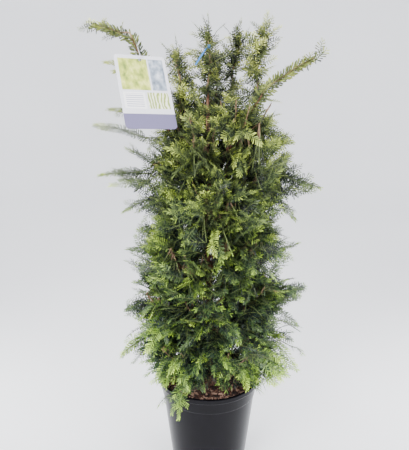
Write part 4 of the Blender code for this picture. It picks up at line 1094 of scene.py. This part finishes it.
def makeSeam():  # the fine mould line down the pot's front and back
    s = seamSet
    form = bmesh.new()
    for azimuth in s["azimuths"]:
        out = sideways(azimuth)
        along = out.cross(up) * s["half"]
        strip = []
        for height in s["heights"]:
            radius = wallRadius(height) - potSet["ledgeStep"] * s["inset"]
            low = out * (radius - s["half"]) + up * height
            ridge = out * (radius + s["proud"]) + up * height
            strip.append([form.verts.new(place) for place in (low + along, ridge, low - along)])
        for low, high in zip(strip, strip[1:]):
            for k in range(2):
                form.faces.new((low[k], low[k + 1], high[k + 1], high[k]))
    bmesh.ops.recalc_face_normals(form, faces=form.faces)
    return formObject("potSeam", form, materials["pot"])


def dressNode(name, material):
    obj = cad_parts[name]
    for slot in obj.material_slots:
        slot.material = material
    if not obj.material_slots:
        obj.data.materials.append(material)


chipSet = dict(size=(0.01, 0.0045, 0.0022, 1.0), spread=0.105, height=0.2035, density=42000.0, narrower=0.7,
               thinner=0.5)


def strewChips():
    s = chipSet
    dressNode("soil", materials["soil"])
    bpy.ops.mesh.primitive_circle_add(vertices=48, radius=s["spread"], fill_type="NGON")
    ground = bpy.context.object
    ground.data.transform(Matrix.Translation((0.0, 0.0, s["height"])))
    bpy.ops.mesh.primitive_cube_add(size=1.0)
    chip = bpy.context.object
    chip.data.transform(Matrix.Diagonal(s["size"]))
    for vert in chip.data.vertices:  # a wedge rather than a brick
        vert.co.x *= s["narrower"] if vert.co.y > 0 else 1.0
        vert.co.z *= s["thinner"] if vert.co.x > 0 else 1.0
    values = {"Chip": chip, "Density": s["density"], "Seed": 5, "Material": materials["chips"]}
    piece = runTree(ground, chipTree(), values, "mulchChips")
    bpy.data.objects.remove(chip)
    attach(piece, "root")
    print("chips", len(piece.data.polygons) // 6)


def makeCard():
    c = cardSet
    form = bmesh.new()
    halfX, halfZ = c["width"] / 2 - c["corner"], c["height"] / 2 - c["corner"]
    outline = []
    for quarter, (xSide, zSide) in enumerate(((1, 1), (-1, 1), (-1, -1), (1, -1))):
        for i in range(7):
            angle = math.radians(90 * quarter + 15 * i)
            outline.append((xSide * halfX + c["corner"] * math.cos(angle),
                            zSide * halfZ + c["corner"] * math.sin(angle)))
    holeAt = c["height"] / 2 - c["holeDrop"]
    hole = []
    for i in range(20):
        angle = -math.tau * i / 20
        hole.append((c["hole"] * math.cos(angle), holeAt + c["hole"] * math.sin(angle)))
    fill = geometry.tessellate_polygon([[Vector((x, z, 0.0)) for x, z in loop] for loop in (outline, hole)])
    front, back = ([form.verts.new((x, depth, z)) for x, z in outline + hole]
                   for depth in (-c["thickness"] / 2, c["thickness"] / 2))
    for verts in (front, back):
        for corners in fill:
            form.faces.new([verts[i] for i in corners])
    for first, loop in ((0, outline), (len(outline), hole)):
        for i in range(len(loop)):
            a, b = first + i, first + (i + 1) % len(loop)
            form.faces.new((front[a], front[b], back[b], back[a]))
    bmesh.ops.recalc_face_normals(form, faces=form.faces)
    form.normal_update()
    layer = form.loops.layers.uv.new("cardPrint")
    for face in form.faces:
        for loop in face.loops:
            u = loop.vert.co.x / c["width"] + 0.5
            u = u if face.normal.y < 0.5 else 1.0 - u  # the back isn't mirrored
            loop[layer].uv = (u, loop.vert.co.z / c["height"] + 0.5)
    form.transform(cardFrame())
    card = formObject("plantLabel", form, materials["card"])
    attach(card, "root")
    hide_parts("label_card")
    print("card faces", len(card.data.polygons))


growWood()
growFoliage()
makePot()
strewChips()
makeCard()
dressNode("label_tie", materials["tie"])
dressNode("blue_strip", materials["strip"])

# the sweep glows a little, less behind the viewer than behind the plant
sweepSet = {"profile": ((0.0, 0.0), (1.6, 0.0), (2.4, 0.0), (2.8, 0.05), (3.2, 0.25), (3.5, 0.7),
                        (3.6, 1.3), (3.6, 5.0)),
            "stops": ((0.3, "cdced2"), (0.7, "d6d7da")), "glow": (0.9, 0.91, 0.95, 1.0),
            "front": -1.8, "back": 0.6, "frontGlow": 0.1, "backGlow": 0.68}
airSet = dict(Color=(0.93, 0.95, 1.0, 1.0), Strength=0.22)
lamps = table("at to size power", {
    "keySoftbox": ((-1.1, -1.9, 2.1), (0.0, 0.0, 0.55), 1.2, 134.0),
    "fillSoftbox": ((1.5, -1.5, 1.5), (0.0, 0.0, 0.45), 1.1, 58.0),
    "topSoftbox": ((0.1, 0.7, 2.7), (0.0, 0.0, 0.8), 1.4, 52.0),
    "leftFloor": ((-0.75, 0.15, 0.6), (-0.42, 0.1, 0.0), 0.5, 6.0),
    "rightFloor": ((0.75, 0.15, 0.6), (0.42, 0.1, 0.0), 0.5, 6.0),
})
cameraSet = dict(lens=48.0, sensor=36.0, at=(-0.0106, -1.3, 1.00), down=16.8)


def sweepMaterial():
    s = sweepSet
    mat, add = newMaterial("paleSweep", roughness=0.9)
    feed(mat, "Base Color", ramp(add, noiseAt(add, scale=1.2, detail=2.0), s["stops"]))
    feed(mat, "Emission Color", s["glow"])
    feed(mat, "Emission Strength", mapped(add, axisOf(add, 1), s["front"], s["back"], s["frontGlow"],
                                          s["backGlow"], interpolation_type="SMOOTHSTEP"))
    return mat


def makeStudio():
    sweep = formObject("studioSweep", spun(sweepSet["profile"], steps=64), sweepMaterial())
    sweep.data.shade_smooth()
    world = bpy.data.worlds.new("studioAir")
    bpy.context.scene.world = world
    world.use_nodes = True
    for socket, value in airSet.items():
        world.node_tree.nodes["Background"].inputs[socket].default_value = value
    for name, s in lamps.items():
        light = bpy.data.lights.new(name, "AREA")
        light.shape = "SQUARE"
        light.size = s["size"]
        light.energy = s["power"]
        lamp = addObject(name, light)
        lamp.location = s["at"]
        lamp.rotation_euler = (Vector(s["to"]) - Vector(s["at"])).to_track_quat("-Z", "Y").to_euler()


def makeCamera():
    s = cameraSet
    data = bpy.data.cameras.new("photoCamera")
    data.lens = s["lens"]
    data.sensor_width = s["sensor"]
    camera = addObject("photoCamera", data)
    camera.location = s["at"]
    camera.rotation_euler = (math.radians(90.0 - s["down"]), 0.0, 0.0)
    bpy.context.scene.camera = camera


makeStudio()
makeCamera()
print("studio ready")
